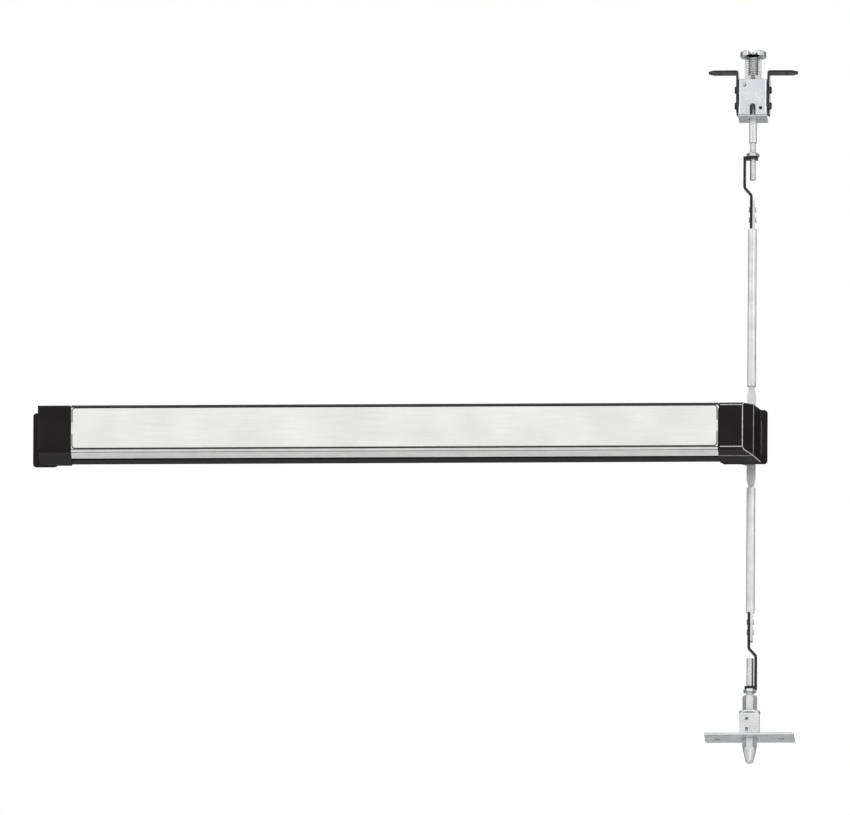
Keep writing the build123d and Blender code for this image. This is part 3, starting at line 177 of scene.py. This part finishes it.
world = bpy.data.worlds.new("white_studio")
world.use_nodes = True
bpy.context.scene.world = world
tree = world.node_tree
background = tree.nodes["Background"]
background.inputs["Color"].default_value = linear("#FFFFFF")
ambient = 0.72
path = add(tree, "ShaderNodeLightPath")
seen = path.outputs["Is Camera Ray"]
for ray in ("Is Glossy Ray", "Is Transmission Ray"):
    seen = add(tree, "ShaderNodeMath", {0: seen, 1: path.outputs[ray]}, operation="MAXIMUM").outputs[0]
strength = add(tree, "ShaderNodeMapRange", {"Value": seen, "To Min": ambient, "To Max": 1.0})
tree.links.new(strength.outputs[0], background.inputs["Strength"])

bar_middle = Vector((-0.4, 0, 0))
for name, place, size, watts in (
    ("panel_left", (-1.9, -1.9, 1.5), 1.3, 7),
    ("panel_right", (1.5, -1.7, 0.9), 0.9, 4),
    ("panel_behind", (0.4, 2.2, 1.3), 1.2, 6),
    ("panel_low", (0.5, -1.5, -0.6), 0.4, 2),
):
    lamp = bpy.data.lights.new(name, "AREA")
    lamp.shape = "SQUARE"
    lamp.size = size
    lamp.energy = watts
    panel = bpy.data.objects.new(name, lamp)
    panel.location = place
    panel.rotation_mode = "QUATERNION"
    panel.rotation_quaternion = (Vector(place) - bar_middle).to_track_quat("Z", "Y")
    bpy.context.scene.collection.objects.link(panel)

# Three black felt flags stand on the floor behind the work, seen only in reflections.
# The two tall ones give bright round bars a darker line along each edge.
# The low one keeps black undersides black.
black_felt = surface("black_felt", "#1A1A1A", "#0E0E0E", even(3 * mm), 0.5 * mm, 0.95, specular=0.1)
for name, high, near, far in (
    ("flag_right", 3.2, (0.9, 0.3), (0.9, 2.5)),
    ("flag_left", 3.2, (-1.5, 0.5), (-1.5, 4.0)),
    ("flag_low", 0.7, (-2.6, 2.4), (1.6, 2.4)),
):
    bpy.ops.mesh.primitive_plane_add(size=2)
    flag = bpy.context.active_object
    flag.name = name
    for corner in flag.data.vertices:
        foot = far if corner.co.x > 0 else near
        corner.co = (foot[0], foot[1], (corner.co.y + 1) / 2 * high - floor_depth)
    flag.data.materials.append(black_felt)
    flag.visible_camera = False
    flag.visible_diffuse = False
    flag.visible_shadow = False
    flag.visible_transmission = False


# Base rail: an aluminium extrusion screwed to the door, which carries everything behind the pad.
# It is black anodised, so its die lines show along it and its corners shine a little.
def only(piece):
    """Select one piece and nothing else."""
    bpy.ops.object.select_all(action="DESELECT")
    piece.select_set(True)
    bpy.context.view_layer.objects.active = piece


corner_angle = math.radians(32)      # a real corner turns by more than this
shading_angle = math.radians(36)
flat_angle = math.radians(0.6)       # faces that turn by less are one flat face
same_spot = 0.002 * mm
leftover_spot = 0.004 * mm
level_reach = 0.05 * mm
bend_steps = 5


def bevelled(piece, radius, steps, edge=-1, by_weight=False):
    """Round a piece's sharp or weighted edges; edge is the slot of the material on them."""
    only(piece)
    modifier = piece.modifiers.new("rounding", "BEVEL")
    modifier.width = radius
    modifier.segments = steps
    modifier.limit_method = "WEIGHT" if by_weight else "ANGLE"
    modifier.angle_limit = corner_angle
    modifier.use_clamp_overlap = False
    modifier.loop_slide = False
    modifier.material = edge
    bpy.ops.object.modifier_apply(modifier="rounding")


def smoothed(piece):
    """Shade a piece smooth, with its real corners kept sharp and its flat faces kept flat."""
    only(piece)
    bpy.ops.object.shade_smooth_by_angle(angle=shading_angle)
    modifier = piece.modifiers.new("flat_faces", "WEIGHTED_NORMAL")
    modifier.keep_sharp = True
    bpy.ops.object.modifier_apply(modifier="flat_faces")


def cleaned(piece):
    """Merge the corners that a bevel or a cut leaves on one spot, which drops the faces between them."""
    only(piece)
    bpy.ops.object.mode_set(mode="EDIT")
    bpy.ops.mesh.select_all(action="SELECT")
    bpy.ops.mesh.remove_doubles(threshold=leftover_spot)
    bpy.ops.mesh.delete_loose(use_verts=True, use_edges=True, use_faces=False)
    bpy.ops.object.mode_set(mode="OBJECT")


def finished(piece, body):
    """A piece is cleaned, shaded smooth, and rides on its body."""
    cleaned(piece)
    smoothed(piece)
    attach(piece, body)


def copied(node, *materials):
    """A piece with a CAD piece's own shape, its triangles joined into whole faces."""
    piece = bpy.data.objects.new(node + "_finished", frame["nodes"][node].data.copy())
    bpy.context.scene.collection.objects.link(piece)
    piece.data.materials.clear()
    for material in materials:
        piece.data.materials.append(material)
    only(piece)
    bpy.ops.object.mode_set(mode="EDIT")
    bpy.ops.mesh.select_all(action="SELECT")
    bpy.ops.mesh.customdata_custom_splitnormals_clear()
    bpy.ops.mesh.remove_doubles(threshold=same_spot)
    bpy.ops.mesh.dissolve_limited(angle_limit=flat_angle)
    bpy.ops.object.mode_set(mode="OBJECT")
    return piece


def weighted(piece, lines):
    """Weight a piece's edges for its bevel; a line has its weight and the levels of its edges on two axes."""
    earlier = piece.data.attributes.get("bevel_weight_edge")
    if earlier:
        piece.data.attributes.remove(earlier)
    weights = piece.data.attributes.new("bevel_weight_edge", "FLOAT", "EDGE")
    for side in piece.data.edges:
        ends = [piece.data.vertices[index].co for index in side.vertices]
        for weight, levels in lines:
            if all(abs(end[axis] - level) < level_reach for end in ends for axis, level in levels.items()):
                weights.data[side.index].value = weight


def dressed(node, materials, radius, steps=2, edge=-1, bends=()):
    """Stand in for a CAD piece: the same shape with rounded edges, and sheet metal with rounded bends."""
    piece = copied(node, *materials)
    if bends:
        widest = max(bend_radius for bend_radius, levels in bends)
        weighted(piece, [(bend_radius / widest, levels) for bend_radius, levels in bends])
        bevelled(piece, widest, bend_steps, by_weight=True)
    bevelled(piece, radius, steps, edge)
    finished(piece, frame["nodes"][node]["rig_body"])
    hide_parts(node)
    return piece


# Black anodised aluminium: a deep brown-black with faint lines along the extrusion.
die_line = 0.5 * mm
black_anodised = surface("black_anodised_extrusion", "#242021", "#181516", (70 * mm, die_line, die_line),
                         0.03 * mm, 0.48, specular=0.12)
dressed("base_rail", [black_anodised], 0.35 * mm)

# Rail fittings: brackets pressed from sheet steel about 2 mm thick, with turned rivets and pins.
# They are zinc plated: pale and slightly blue, a little cloudy, and darker on the sheared edges.
sheet_wall = 2.0 * mm
pressed_edge = 0.22 * mm
cloud_grain = 2.5 * mm
zinc_plate = surface("zinc_plated_steel", "#E9EBED", "#CDD2D6", even(cloud_grain), 0.008 * mm, 0.34,
                     spread=0.06, metallic=0.8)
# The sheared edge is rougher and grey, because the plating is thin on it.
sheared_zinc = surface("zinc_on_sheared_edge", "#6A6E72", "#4B4F53", even(0.8 * mm), 0.04 * mm, 0.45,
                       spread=0.08, metallic=0.7)
zinc_sheet = [zinc_plate, sheared_zinc]
for node in ("rail_connector_left", "rail_connector_right", "crank_bracket_left", "crank_bracket_right"):
    dressed(node, zinc_sheet, pressed_edge, edge=1)
dome = 0.9 * mm
for node in ("rail_rivets", "crank_pivot_pins"):
    dressed(node, [zinc_plate], dome / 2, steps=3)

# Door plates: the case plate at the lock edge and the bracket at the hinge end, blanked from steel plate.
# They are black powder coated, and the coat levels into a fine orange peel.
peel = 1.1 * mm
black_coat = surface("black_powder_coat", "#252122", "#1A1718", even(peel), 0.06 * mm, 0.45, specular=0.16,
                     cloud=30 * mm)
for node in ("active_base", "hinge_end_bracket"):
    dressed(node, [black_coat], 0.5 * mm, steps=3)

# Touch pad: a hollow aluminium extrusion, open at the back, that slides over the rail's neck.
# It is clear anodised to a pale satin, and a groove is rolled along each crease of its section; the grooves
# are painted dark as shade.
pad_ends = [corner.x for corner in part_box("touch_pad")]
pad_wall = 2.0 * mm
skirt_depth = 38.0 * mm
shoulder_depth = 57.0 * mm
front_depth = 60.0 * mm
skirt_half = 30.2 * mm
shoulder_half = 27.6 * mm
front_half = 24.6 * mm
groove_half = 0.5 * mm
groove_deep = 0.5 * mm

upper_side = [Vector((-skirt_depth, skirt_half)), Vector((-shoulder_depth, shoulder_half)),
              Vector((-front_depth, front_half))]
creases = upper_side + [Vector((point.x, -point.y)) for point in reversed(upper_side)]
section = [creases[0]]
for before, crease, after in zip(creases, creases[1:], creases[2:]):
    back = (before - crease).normalized()
    ahead = (after - crease).normalized()
    inward = (back + ahead).normalized()
    section += [crease + back * groove_half, crease + inward * groove_deep, crease + ahead * groove_half]
section.append(creases[-1])
inner_side = [
    Vector((-front_depth + pad_wall, front_half - pad_wall / 2)),
    Vector((-shoulder_depth + pad_wall / 2, shoulder_half - pad_wall)),
    Vector((-skirt_depth, skirt_half - pad_wall)),
]
section += [Vector((point.x, -point.y)) for point in reversed(inner_side)] + inner_side


def extruded(name, points, way, depth):
    """A closed bar made from a section's points, drawn out along one direction."""
    bpy.ops.object.select_all(action="DESELECT")
    bpy.ops.mesh.primitive_circle_add(vertices=len(points), fill_type="NGON")
    piece = bpy.context.active_object
    piece.name = name
    for vertex, point in zip(piece.data.vertices, points):
        vertex.co = point
    only(piece)
    bpy.ops.object.mode_set(mode="EDIT")
    bpy.ops.mesh.select_all(action="SELECT")
    bpy.ops.mesh.extrude_region_move(TRANSFORM_OT_translate={"value": Vector(way) * depth})
    bpy.ops.mesh.select_all(action="SELECT")
    bpy.ops.mesh.normals_make_consistent(inside=False)
    bpy.ops.object.mode_set(mode="OBJECT")
    return piece


pad = extruded("touch_pad_extrusion", [(pad_ends[0], point.x, point.y) for point in section], (1, 0, 0),
               pad_ends[1] - pad_ends[0])
anodised_line = 0.6 * mm
satin_aluminium = surface("satin_anodised_aluminium", "#F3F4F4", "#E2E4E5",
                          (90 * mm, anodised_line, anodised_line), 0.02 * mm, 0.42, metallic=0.6)
# Painted shade: a black tone in the grooves and on the narrow upper bevel, where shade falls.
groove_painted_shade = surface("painted_shade_grooves", "#3A3838", "#262424", even(2 * mm), 0.05 * mm, 0.55,
                         specular=0.25)
for material in (satin_aluminium, groove_painted_shade):
    pad.data.materials.append(material)
# Faces in a groove or on the upper bevel take the painted shade.
for face in pad.data.polygons:
    middle = Vector((face.center.y, face.center.z))
    in_groove = any((middle - crease).length < groove_half for crease in creases[1:-1])
    on_top_bevel = face.normal.z > 0.5 and face.normal.y < -0.5
    if in_groove or on_top_bevel:
        face.material_index = 1
finished(pad, "pad")
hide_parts("touch_pad")

# Face strip: a thin stainless plate with round corners, glued to the pad's front and brushed lengthwise.
# A fine black bead round it is painted shadow for the dark gap between strip and pad; it is left open in the
# middle of both ends.
brush_line = 0.45 * mm      # real brush lines are under 0.1 mm wide
brushed_stainless = surface("brushed_stainless", "#F7F7F5", "#E6E6E4", (50 * mm, brush_line, brush_line),
                            0.02 * mm, 0.36, spread=0.06, metallic=0.65, cloud=60 * mm)
dressed("pad_face_plate", [brushed_stainless], 0.15 * mm)

strip_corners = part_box("pad_face_plate")
strip_middle = (strip_corners[0] + strip_corners[1]) / 2
strip_half = (strip_corners[1] - strip_corners[0]) / 2
bead_wide = 0.8 * mm
bead_high = 0.9 * mm
bead_gap = 7.0 * mm
bead_corner = 3.5 * mm
corner_steps = 6
painted_shadow_black = surface("painted_shadow_black", "#343233", "#222021", even(2 * mm), 0.1 * mm, 0.6, specular=0.25)
for name, side in (("painted_shadow_bead_upper", 1), ("painted_shadow_bead_lower", -1)):
    outline = []
    for grow in (bead_wide, 0):
        reach = Vector((strip_half.x + grow, strip_half.z + grow))
        turn = bead_corner + grow
        run = [Vector((-reach.x, bead_gap))]
        for start, across in ((180, -1), (90, 1)):
            for step in range(corner_steps + 1):
                angle = math.radians(start - 90 / corner_steps * step)
                hub = Vector((across * (reach.x - turn), reach.y - turn))
                run.append(hub + turn * Vector((math.cos(angle), math.sin(angle))))
        run.append(Vector((reach.x, bead_gap)))
        outline += run if grow else list(reversed(run))
    points = [(strip_middle.x + point.x, -front_depth, strip_middle.z + side * point.y) for point in outline]
    bead = extruded(name, points, (0, -1, 0), bead_high)
    bead.data.materials.append(painted_shadow_black)
    bevelled(bead, 0.15 * mm, 2)
    finished(bead, "pad")

# End caps: thin moulded shells of black glass-filled nylon that close the bar's two ends.
# The mould is spark eroded, so the faces have a fine even grain; the real grain is 0.1 mm, too fine to show.
mould_grain = 0.7 * mm
black_nylon = surface("moulded_black_nylon", "#221E1F", "#181516", even(mould_grain), 0.07 * mm, 0.5,
                      specular=0.12, cloud=24 * mm)
dressed("hinge_end_cap", [black_nylon], 0.9 * mm, steps=3)

# Painted highlight: the cover's outer edges are rounded and painted pale, in streaks, for the light they
# catch.
painted_highlight_nylon = surface("painted_highlight_nylon_edge", "#F2F1F0", "#B4B2B1", even(5 * mm), 0.02 * mm, 0.35, specular=0.4,
                       cloud=7 * mm)
highlight_edge_width = 0.55 * mm
knee = Vector((5.0 * mm, -skirt_depth, skirt_half))
lock_edge = Vector((12.4 * mm, -8.0 * mm, 30.7 * mm))
front_corner_x = -8.0 * mm
past_line = 0.1 * mm
full_weight = 1.0
highlight_lines = [(full_weight, {0: knee.x, 1: knee.y}), (full_weight, {0: lock_edge.x, 1: lock_edge.y})]
for side in (1, -1):
    highlight_lines.append((full_weight, {1: -front_depth, 2: side * front_half}))
    highlight_lines.append((full_weight, {1: knee.y, 2: side * knee.z}))

cover = copied("active_cover", black_nylon, painted_highlight_nylon)
weighted(cover, highlight_lines)
bpy.ops.object.mode_set(mode="EDIT")
bpy.ops.mesh.select_mode(type="EDGE")
bpy.ops.mesh.select_all(action="DESELECT")
bpy.ops.mesh.edges_select_sharp(sharpness=corner_angle)
bpy.ops.object.mode_set(mode="OBJECT")
highlight_weights = cover.data.attributes["bevel_weight_edge"]
for side in cover.data.edges:
    ends = [cover.data.vertices[index].co for index in side.vertices]
    outside = all(abs(end.z) > knee.z - past_line or end.y < -shoulder_depth + past_line for end in ends)
    at_corner = all(end.x > front_corner_x and end.y < lock_edge.y + past_line for end in ends)
    if side.select and outside and at_corner:
        highlight_weights.data[side.index].value = full_weight
bevelled(cover, highlight_edge_width, 3, edge=1, by_weight=True)
# The faces of the front corner's rounding take the same painted highlight.
for face in cover.data.polygons:
    if face.center.y < -shoulder_depth and 0.3 < face.normal.x < 0.7 and abs(face.normal.z) < 0.2:
        face.material_index = 1
bevelled(cover, highlight_edge_width / 2, 2)
finished(cover, "housing")
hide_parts("active_cover")


# Cap and case screws: countersunk machine screws with a cross recess pressed into the head.
# They are black oxide steel, a thin dark film with a soft oily shine.
def cut_out(piece, punch):
    """Cut a punch's shape out of a piece, and take the punch away."""
    only(piece)
    cut = piece.modifiers.new("cut", "BOOLEAN")
    cut.operation = "DIFFERENCE"
    cut.object = punch
    bpy.ops.object.modifier_apply(modifier="cut")
    bpy.data.objects.remove(punch)


oxide_grain = 1.2 * mm
black_oxide = surface("black_oxide_steel", "#33302E", "#1D1B1A", even(oxide_grain), 0.03 * mm, 0.38,
                      spread=0.08, metallic=0.3, specular=0.35, cloud=9 * mm)
recess_share = 1.2          # the cross's length over the head's radius
recess_wide = 0.9 * mm
recess_deep = 1.1 * mm
upright = 2
for node, facing, other, outer in (("cap_screws", 0, 1, 0), ("cover_screws", 1, 0, 1)):
    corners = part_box(node)
    screws = dressed(node, [black_oxide], 0.12 * mm)
    head_radius = (corners[1][other] - corners[0][other]) / 2
    for height in (corners[0].z + head_radius, corners[1].z - head_radius):
        for long_way, short_way in ((upright, other), (other, upright)):
            bpy.ops.object.select_all(action="DESELECT")
            bpy.ops.mesh.primitive_cube_add(size=1)
            punch = bpy.context.active_object
            centre = (corners[0] + corners[1]) / 2
            centre[facing] = corners[outer][facing]
            centre.z = height
            punch.location = centre
            size = Vector()
            size[facing] = 2 * recess_deep
            size[long_way] = recess_share * head_radius
            size[short_way] = recess_wide
            punch.scale = size
            cut_out(screws, punch)

# Press linkage: forked carriers inside the pad, bell cranks, the flat pull rod and the lift yoke.
# All are blanked from steel strip and zinc plated; the pins and rivets are turned and headed over.
blanked_edge = 0.25 * mm
for node in ("pad_carrier_left", "pad_carrier_right", "crank_left", "crank_right", "pull_rod", "lift_yoke"):
    dressed(node, zinc_sheet, blanked_edge, edge=1)
for node in ("pad_pins", "yoke_rivets"):
    dressed(node, [zinc_plate], dome / 2, steps=3)

# Return spring: one oiled spring wire, wound in a close coil with an open hook at each end.
# One hook goes round the pull rod's post and the other through the anchor in the rail.
# Pressing the pad stretches the coil in the real bar; here the wire keeps its rest shape.
spring_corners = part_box("return_spring")
spring_middle = (spring_corners[0] + spring_corners[1]) / 2
wire_radius = 0.6 * mm
coil_radius = spring_corners[1].z - spring_middle.z - wire_radius
coil_gap = 1.6 * mm
coil_low = spring_corners[0].x + coil_gap
coil_high = spring_corners[1].x - coil_gap
coil_turns = 36
turn_steps = 16
hook_steps = 12
wire_sides = 8
wire_seam = 0.01 * mm
post_radius = 2.0 * mm
post_place = spring_corners[0].x - post_radius
anchor_place = spring_corners[1].x + sheet_wall / 2


def across_coil(x, angle):
    """A place on the coil's wire, by its place along the coil and its angle about the coil's axis."""
    out = coil_radius * math.cos(angle)
    up = coil_radius * math.sin(angle)
    return Vector((x, spring_middle.y + out, spring_middle.z + up))


def hook(centre, first):
    """The wire's half turn round a post at one end of the coil, from the first angle, a half turn back."""
    run = []
    for step in range(hook_steps + 1):
        angle = first - math.pi * step / hook_steps
        hub = Vector((centre, spring_middle.y, spring_middle.z))
        run.append(hub + coil_radius * Vector((math.cos(angle), math.sin(angle), 0)))
    return run


def closed(piece, seam):
    """Join a rolled-up grid along its seam, and close its two ends."""
    only(piece)
    bpy.ops.object.mode_set(mode="EDIT")
    bpy.ops.mesh.select_all(action="SELECT")
    bpy.ops.mesh.remove_doubles(threshold=seam)
    bpy.ops.mesh.fill_holes(sides=0)
    bpy.ops.mesh.select_all(action="SELECT")
    bpy.ops.mesh.normals_make_consistent(inside=False)
    bpy.ops.object.mode_set(mode="OBJECT")


wire_run = hook(post_place, -math.pi / 2)
for step in range(coil_turns * turn_steps + 1):
    share = step / (coil_turns * turn_steps)
    wire_run.append(across_coil(coil_low + share * (coil_high - coil_low), 2 * math.pi * step / turn_steps))
wire_run += hook(anchor_place, math.pi / 2)

bpy.ops.object.select_all(action="DESELECT")
bpy.ops.mesh.primitive_grid_add(size=2, x_subdivisions=wire_sides, y_subdivisions=len(wire_run) - 1)
coil = bpy.context.active_object
coil.name = "return_spring_wire"
frames = []
across = Vector((0, 0, 1))
for index, place in enumerate(wire_run):
    ahead = wire_run[min(index + 1, len(wire_run) - 1)] - wire_run[max(index - 1, 0)]
    ahead.normalize()
    across = (across - ahead * across.dot(ahead)).normalized()
    frames.append((place, across, ahead.cross(across)))
for vertex in coil.data.vertices:
    place, across, beside = frames[round((vertex.co.y + 1) / 2 * (len(wire_run) - 1))]
    angle = math.pi * (vertex.co.x + 1)
    vertex.co = place + wire_radius * (across * math.cos(angle) + beside * math.sin(angle))
closed(coil, wire_seam)
oiled_wire = surface("oiled_spring_wire", "#9A9C9F", "#6E7073", even(0.8 * mm), 0.02 * mm, 0.28, metallic=0.9)
coil.data.materials.append(oiled_wire)
smoothed(coil)
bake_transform(coil)
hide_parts("return_spring")

# Spring anchor: a bent zinc-plated strip on the rail's web, with a punched hole for the spring's hook.
anchor = dressed("spring_anchor", zinc_sheet, pressed_edge, edge=1)
hole_radius = 1.0 * mm
hole_sides = 24
bpy.ops.object.select_all(action="DESELECT")
bpy.ops.mesh.primitive_cylinder_add(vertices=hole_sides, radius=hole_radius, depth=3 * sheet_wall,
                                    location=across_coil(anchor_place, 0), rotation=(0, math.pi / 2, 0))
cut_out(anchor, bpy.context.active_object)

# Lift levers: shafts in sintered bronze bushes carry a drive arm in the case and a lift arm in the door.
# The lever bracket and the frame behind the plate are bent from zinc-plated sheet.
for node in ("lever_bracket", "rear_frame", "upper_drive_arm", "lower_drive_arm", "upper_lift_arm",
             "lower_lift_arm"):
    dressed(node, zinc_sheet, blanked_edge, edge=1)
for node in ("upper_lever_shaft", "lower_lever_shaft"):
    dressed(node, [zinc_plate], 0.4 * mm, steps=3)
sintered_bronze = surface("sintered_bronze", "#B98A52", "#8A6233", even(0.9 * mm), 0.05 * mm, 0.42,
                          spread=0.06, metallic=0.9)
turned_edge = 0.3 * mm
dressed("lever_bushes", [sintered_bronze], turned_edge)

# Rods: round steel bar, flattened at both ends in a press and punched for the lever's pin and the strap.
# The bar is bright drawn, so long faint lines run along it.
drawn_line = 0.5 * mm
drawn_steel = surface("bright_drawn_steel", "#ECEDEE", "#CFD2D5", (drawn_line, drawn_line, 60 * mm),
                      0.02 * mm, 0.32, metallic=0.55)
for node in ("upper_rod", "lower_rod"):
    dressed(node, [drawn_steel], turned_edge)

# Strap connectors: bent steel straps, black oxide, each riveted to a rod and tapped into by its adjuster.
# The rivets are zinc-plated round heads, and a hexagon nut locks each adjuster.
strap_edge = 0.3 * mm
nut_edge = 0.35 * mm
for node in ("upper_strap", "lower_strap"):
    dressed(node, [black_oxide], strap_edge)
for node in ("upper_strap_rivets", "lower_strap_rivets"):
    dressed(node, [zinc_plate], dome, steps=4)
for node in ("upper_lock_nut", "lower_lock_nut"):
    dressed(node, zinc_sheet, nut_edge, edge=1)


# Adjusters: fully threaded steel rods that set the length of each rod assembly.
# The thread is cut, with a bevelled start at both ends. The sleeve guides the upper one.
thread_sides = 28
rows_a_turn = 8
thread_seam = 0.005 * mm


def threaded(name, corners, pitch, depth, material):
    """A threaded rod that fills a CAD piece's box, along Z, with closed ends."""
    low, high = corners[0].z, corners[1].z
    radius = (corners[1].x - corners[0].x) / 2
    axis_x = (corners[0].x + corners[1].x) / 2
    axis_y = (corners[0].y + corners[1].y) / 2
    bpy.ops.object.select_all(action="DESELECT")
    rows = round((high - low) / pitch * rows_a_turn)
    bpy.ops.mesh.primitive_grid_add(size=2, x_subdivisions=thread_sides, y_subdivisions=rows)
    piece = bpy.context.active_object
    piece.name = name
    for vertex in piece.data.vertices:
        share = (vertex.co.x + 1) / 2
        height = (vertex.co.y + 1) / 2 * (high - low)
        ridge = 1 - abs(2 * ((height / pitch - share) % 1) - 1)
        start_bevel = radius - depth + min(height, high - low - height)
        reach = min(radius - depth * (1 - ridge), start_bevel)
        angle = 2 * math.pi * share
        vertex.co = (axis_x + reach * math.cos(angle), axis_y + reach * math.sin(angle), low + height)
    closed(piece, thread_seam)
    piece.data.materials.append(material)
    return piece


adjuster_pitch = 2.0 * mm      # an M8 thread has 1.25 mm, too fine to show here
adjuster_depth = 0.4 * mm
cut_steel = surface("cut_thread_steel", "#E8EAEB", "#CDD0D3", (2 * mm, 2 * mm, 0.5 * mm), 0.01 * mm, 0.28,
                    spread=0.04, metallic=0.75)
for node, body in (("upper_threaded_rod", "upper_rod_set"), ("lower_threaded_rod", "lower_rod_set")):
    adjuster = threaded(node + "_cut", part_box(node), adjuster_pitch, adjuster_depth, cut_steel)
    finished(adjuster, body)
    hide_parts(node)
dressed("upper_sleeve", [drawn_steel], turned_edge)

# Top latch case: a U of sheet steel with rounded bends, closed by an L at the back and bottom.
# It is zinc plated, and stands in the top of the door between two eared brackets.
case_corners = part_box("latch_case")
bend_outer = 2.6 * mm
bend_inner = 0.6 * mm
folded_edge = 0.3 * mm
case_bends = []
for level, step in ((case_corners[0].x, sheet_wall), (case_corners[1].x, -sheet_wall)):
    case_bends.append((bend_outer, {0: level, 1: case_corners[0].y}))
    case_bends.append((bend_inner, {0: level + step, 1: case_corners[0].y + sheet_wall}))
dressed("latch_case", zinc_sheet, folded_edge, edge=1, bends=case_bends)
dressed("latch_case_back", zinc_sheet, folded_edge, edge=1)

# Eared brackets: side plates with the ears bent outwards, screwed to the door's top edge.
# Black oxide, held by big domed rivets; the edges are painted a paler grey as a highlight.
painted_highlight_oxide = surface("painted_highlight_oxide_edge", "#6F6B68", "#454240", even(3 * mm), 0.02 * mm, 0.32, metallic=0.6,
                       cloud=5 * mm)
highlighted_oxide_sheet = [black_oxide, painted_highlight_oxide]
ear_bend = 3.0 * mm
for node, inner in (("top_bracket_left", 1), ("top_bracket_right", 0)):
    ear_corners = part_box(node)
    bend_line = {0: ear_corners[inner].x, 2: ear_corners[1].z}
    dressed(node, highlighted_oxide_sheet, folded_edge, edge=1, bends=[(ear_bend, bend_line)])
# The rivets' rims take the same painted highlight.
for node in ("latch_rivets", "pivot_rivets"):
    dressed(node, highlighted_oxide_sheet, 0.5 * mm, steps=3, edge=1)

# Latch works: a yoke that tilts on the pivots, its tail pin, and the cam shoe on the sleeve that moves it.
# The yoke is a zinc-plated casting, the shoe is machined and plated.
for node in ("yoke", "cam_shoe"):
    dressed(node, zinc_sheet, 0.2 * mm, edge=1)
dressed("tail_pin", [zinc_plate], turned_edge)

# Head bolt: a slotted round head that holds the pin on the frame, forged on a threaded stud.
# The head is machined bright, with bevelled rims; the stud screws into the yoke to set its height.
bolt_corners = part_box("head_bolt")
rod_line = 22.0 * mm
stud_radius = 6.35 * mm
head_thick = 6.0 * mm
head_low = bolt_corners[1].z - head_thick
head_radius = bolt_corners[1].x
head_centre = bolt_corners[1].y - head_radius
head_bevel = 0.8 * mm
rim_bevel = 0.25 * mm
head_sides = 96
pocket_sides = 64
slot_steps = 24
slot_half = 5.5 * mm
slot_hub = 9.5 * mm
pocket_half = 7.2 * mm
pocket_deep = 2.6 * mm
past = 1.0 * mm
bpy.ops.object.select_all(action="DESELECT")
bpy.ops.mesh.primitive_cylinder_add(vertices=head_sides, radius=head_radius, depth=head_thick,
                                    location=(0, head_centre, head_low + head_thick / 2))
slotted_head = bpy.context.active_object
slotted_head.name = "slotted_head"
bpy.ops.object.transform_apply(location=True, rotation=False, scale=False)
for material in (cut_steel, sheared_zinc):
    slotted_head.data.materials.append(material)
head_high = bolt_corners[1].z
weighted(slotted_head, [(full_weight, {2: head_high})])
bevelled(slotted_head, head_bevel, 1, by_weight=True)

slot_mouth = slot_hub - 2 * head_radius
slot_outline = [(slot_half, slot_mouth, head_low - past)]
for step in range(slot_steps + 1):
    angle = math.pi * step / slot_steps
    across = slot_half * math.cos(angle)
    inwards = slot_hub + slot_half * math.sin(angle)
    slot_outline.append((across, inwards, head_low - past))
slot_outline.append((-slot_half, slot_mouth, head_low - past))
slot_punch = extruded("slot_punch", slot_outline, (0, 0, 1), head_thick + 2 * past)
pocket_flare = (pocket_half - slot_half) / pocket_deep * past
bpy.ops.object.select_all(action="DESELECT")
bpy.ops.mesh.primitive_cone_add(vertices=pocket_sides, radius1=pocket_half + pocket_flare,
                                radius2=slot_half - pocket_flare, depth=pocket_deep + 2 * past,
                                location=(0, slot_hub, head_low + pocket_deep / 2))
pocket_punch = bpy.context.active_object
for punch in (slot_punch, pocket_punch):
    cut_out(slotted_head, punch)
rims = (head_low, head_high - head_bevel, head_high)
weighted(slotted_head, [(full_weight, {2: level}) for level in rims])
bevelled(slotted_head, rim_bevel, 2, edge=1, by_weight=True)
finished(slotted_head, "latch_head")
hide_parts("head_bolt")

stud_pitch = 2.6 * mm       # the real half-inch thread has 2 mm
stud_depth = 1.0 * mm
stud_box = (
    Vector((-stud_radius, rod_line - stud_radius, bolt_corners[0].z)),
    Vector((stud_radius, rod_line + stud_radius, head_low + stud_depth)),
)
stud = threaded("head_stud", stud_box, stud_pitch, stud_depth, cut_steel)
finished(stud, "latch_head")

# Bottom bolt: a hexagon steel bar turned to a blunt cone, with a cross pin that stops it in the guide.
# The flats are bright drawn, and the corners between them are painted darker as shade.
hex_corner_shade = surface("painted_shade_hex_corner", "#6B6E71", "#4A4D50", (drawn_line, drawn_line, 30 * mm), 0.02 * mm,
                       0.4, metallic=0.8)
dressed("bottom_bolt", [drawn_steel, hex_corner_shade], turned_edge, edge=1)
pin_edge = 0.25 * mm
dressed("stop_pin", [zinc_plate], pin_edge)

# Guide: a folded box with welded feet on a countersunk base plate, and a loose collar on top.
# All are zinc-plated steel; the base plate is screwed to the door's bottom edge.
guide_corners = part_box("guide_bracket")
guide_outer = 11.2 * mm
guide_bend = 1.6 * mm
plate_edge = 0.4 * mm
guide_bends = [(guide_bend, {1: guide_corners[0].y, 2: guide_corners[1].z})]
for side in (1, -1):
    guide_bends.append((guide_bend, {0: side * guide_outer, 1: guide_corners[0].y}))
dressed("guide_bracket", zinc_sheet, folded_edge, edge=1, bends=guide_bends)
for node in ("base_plate", "guide_collar"):
    dressed(node, zinc_sheet, plate_edge, edge=1)
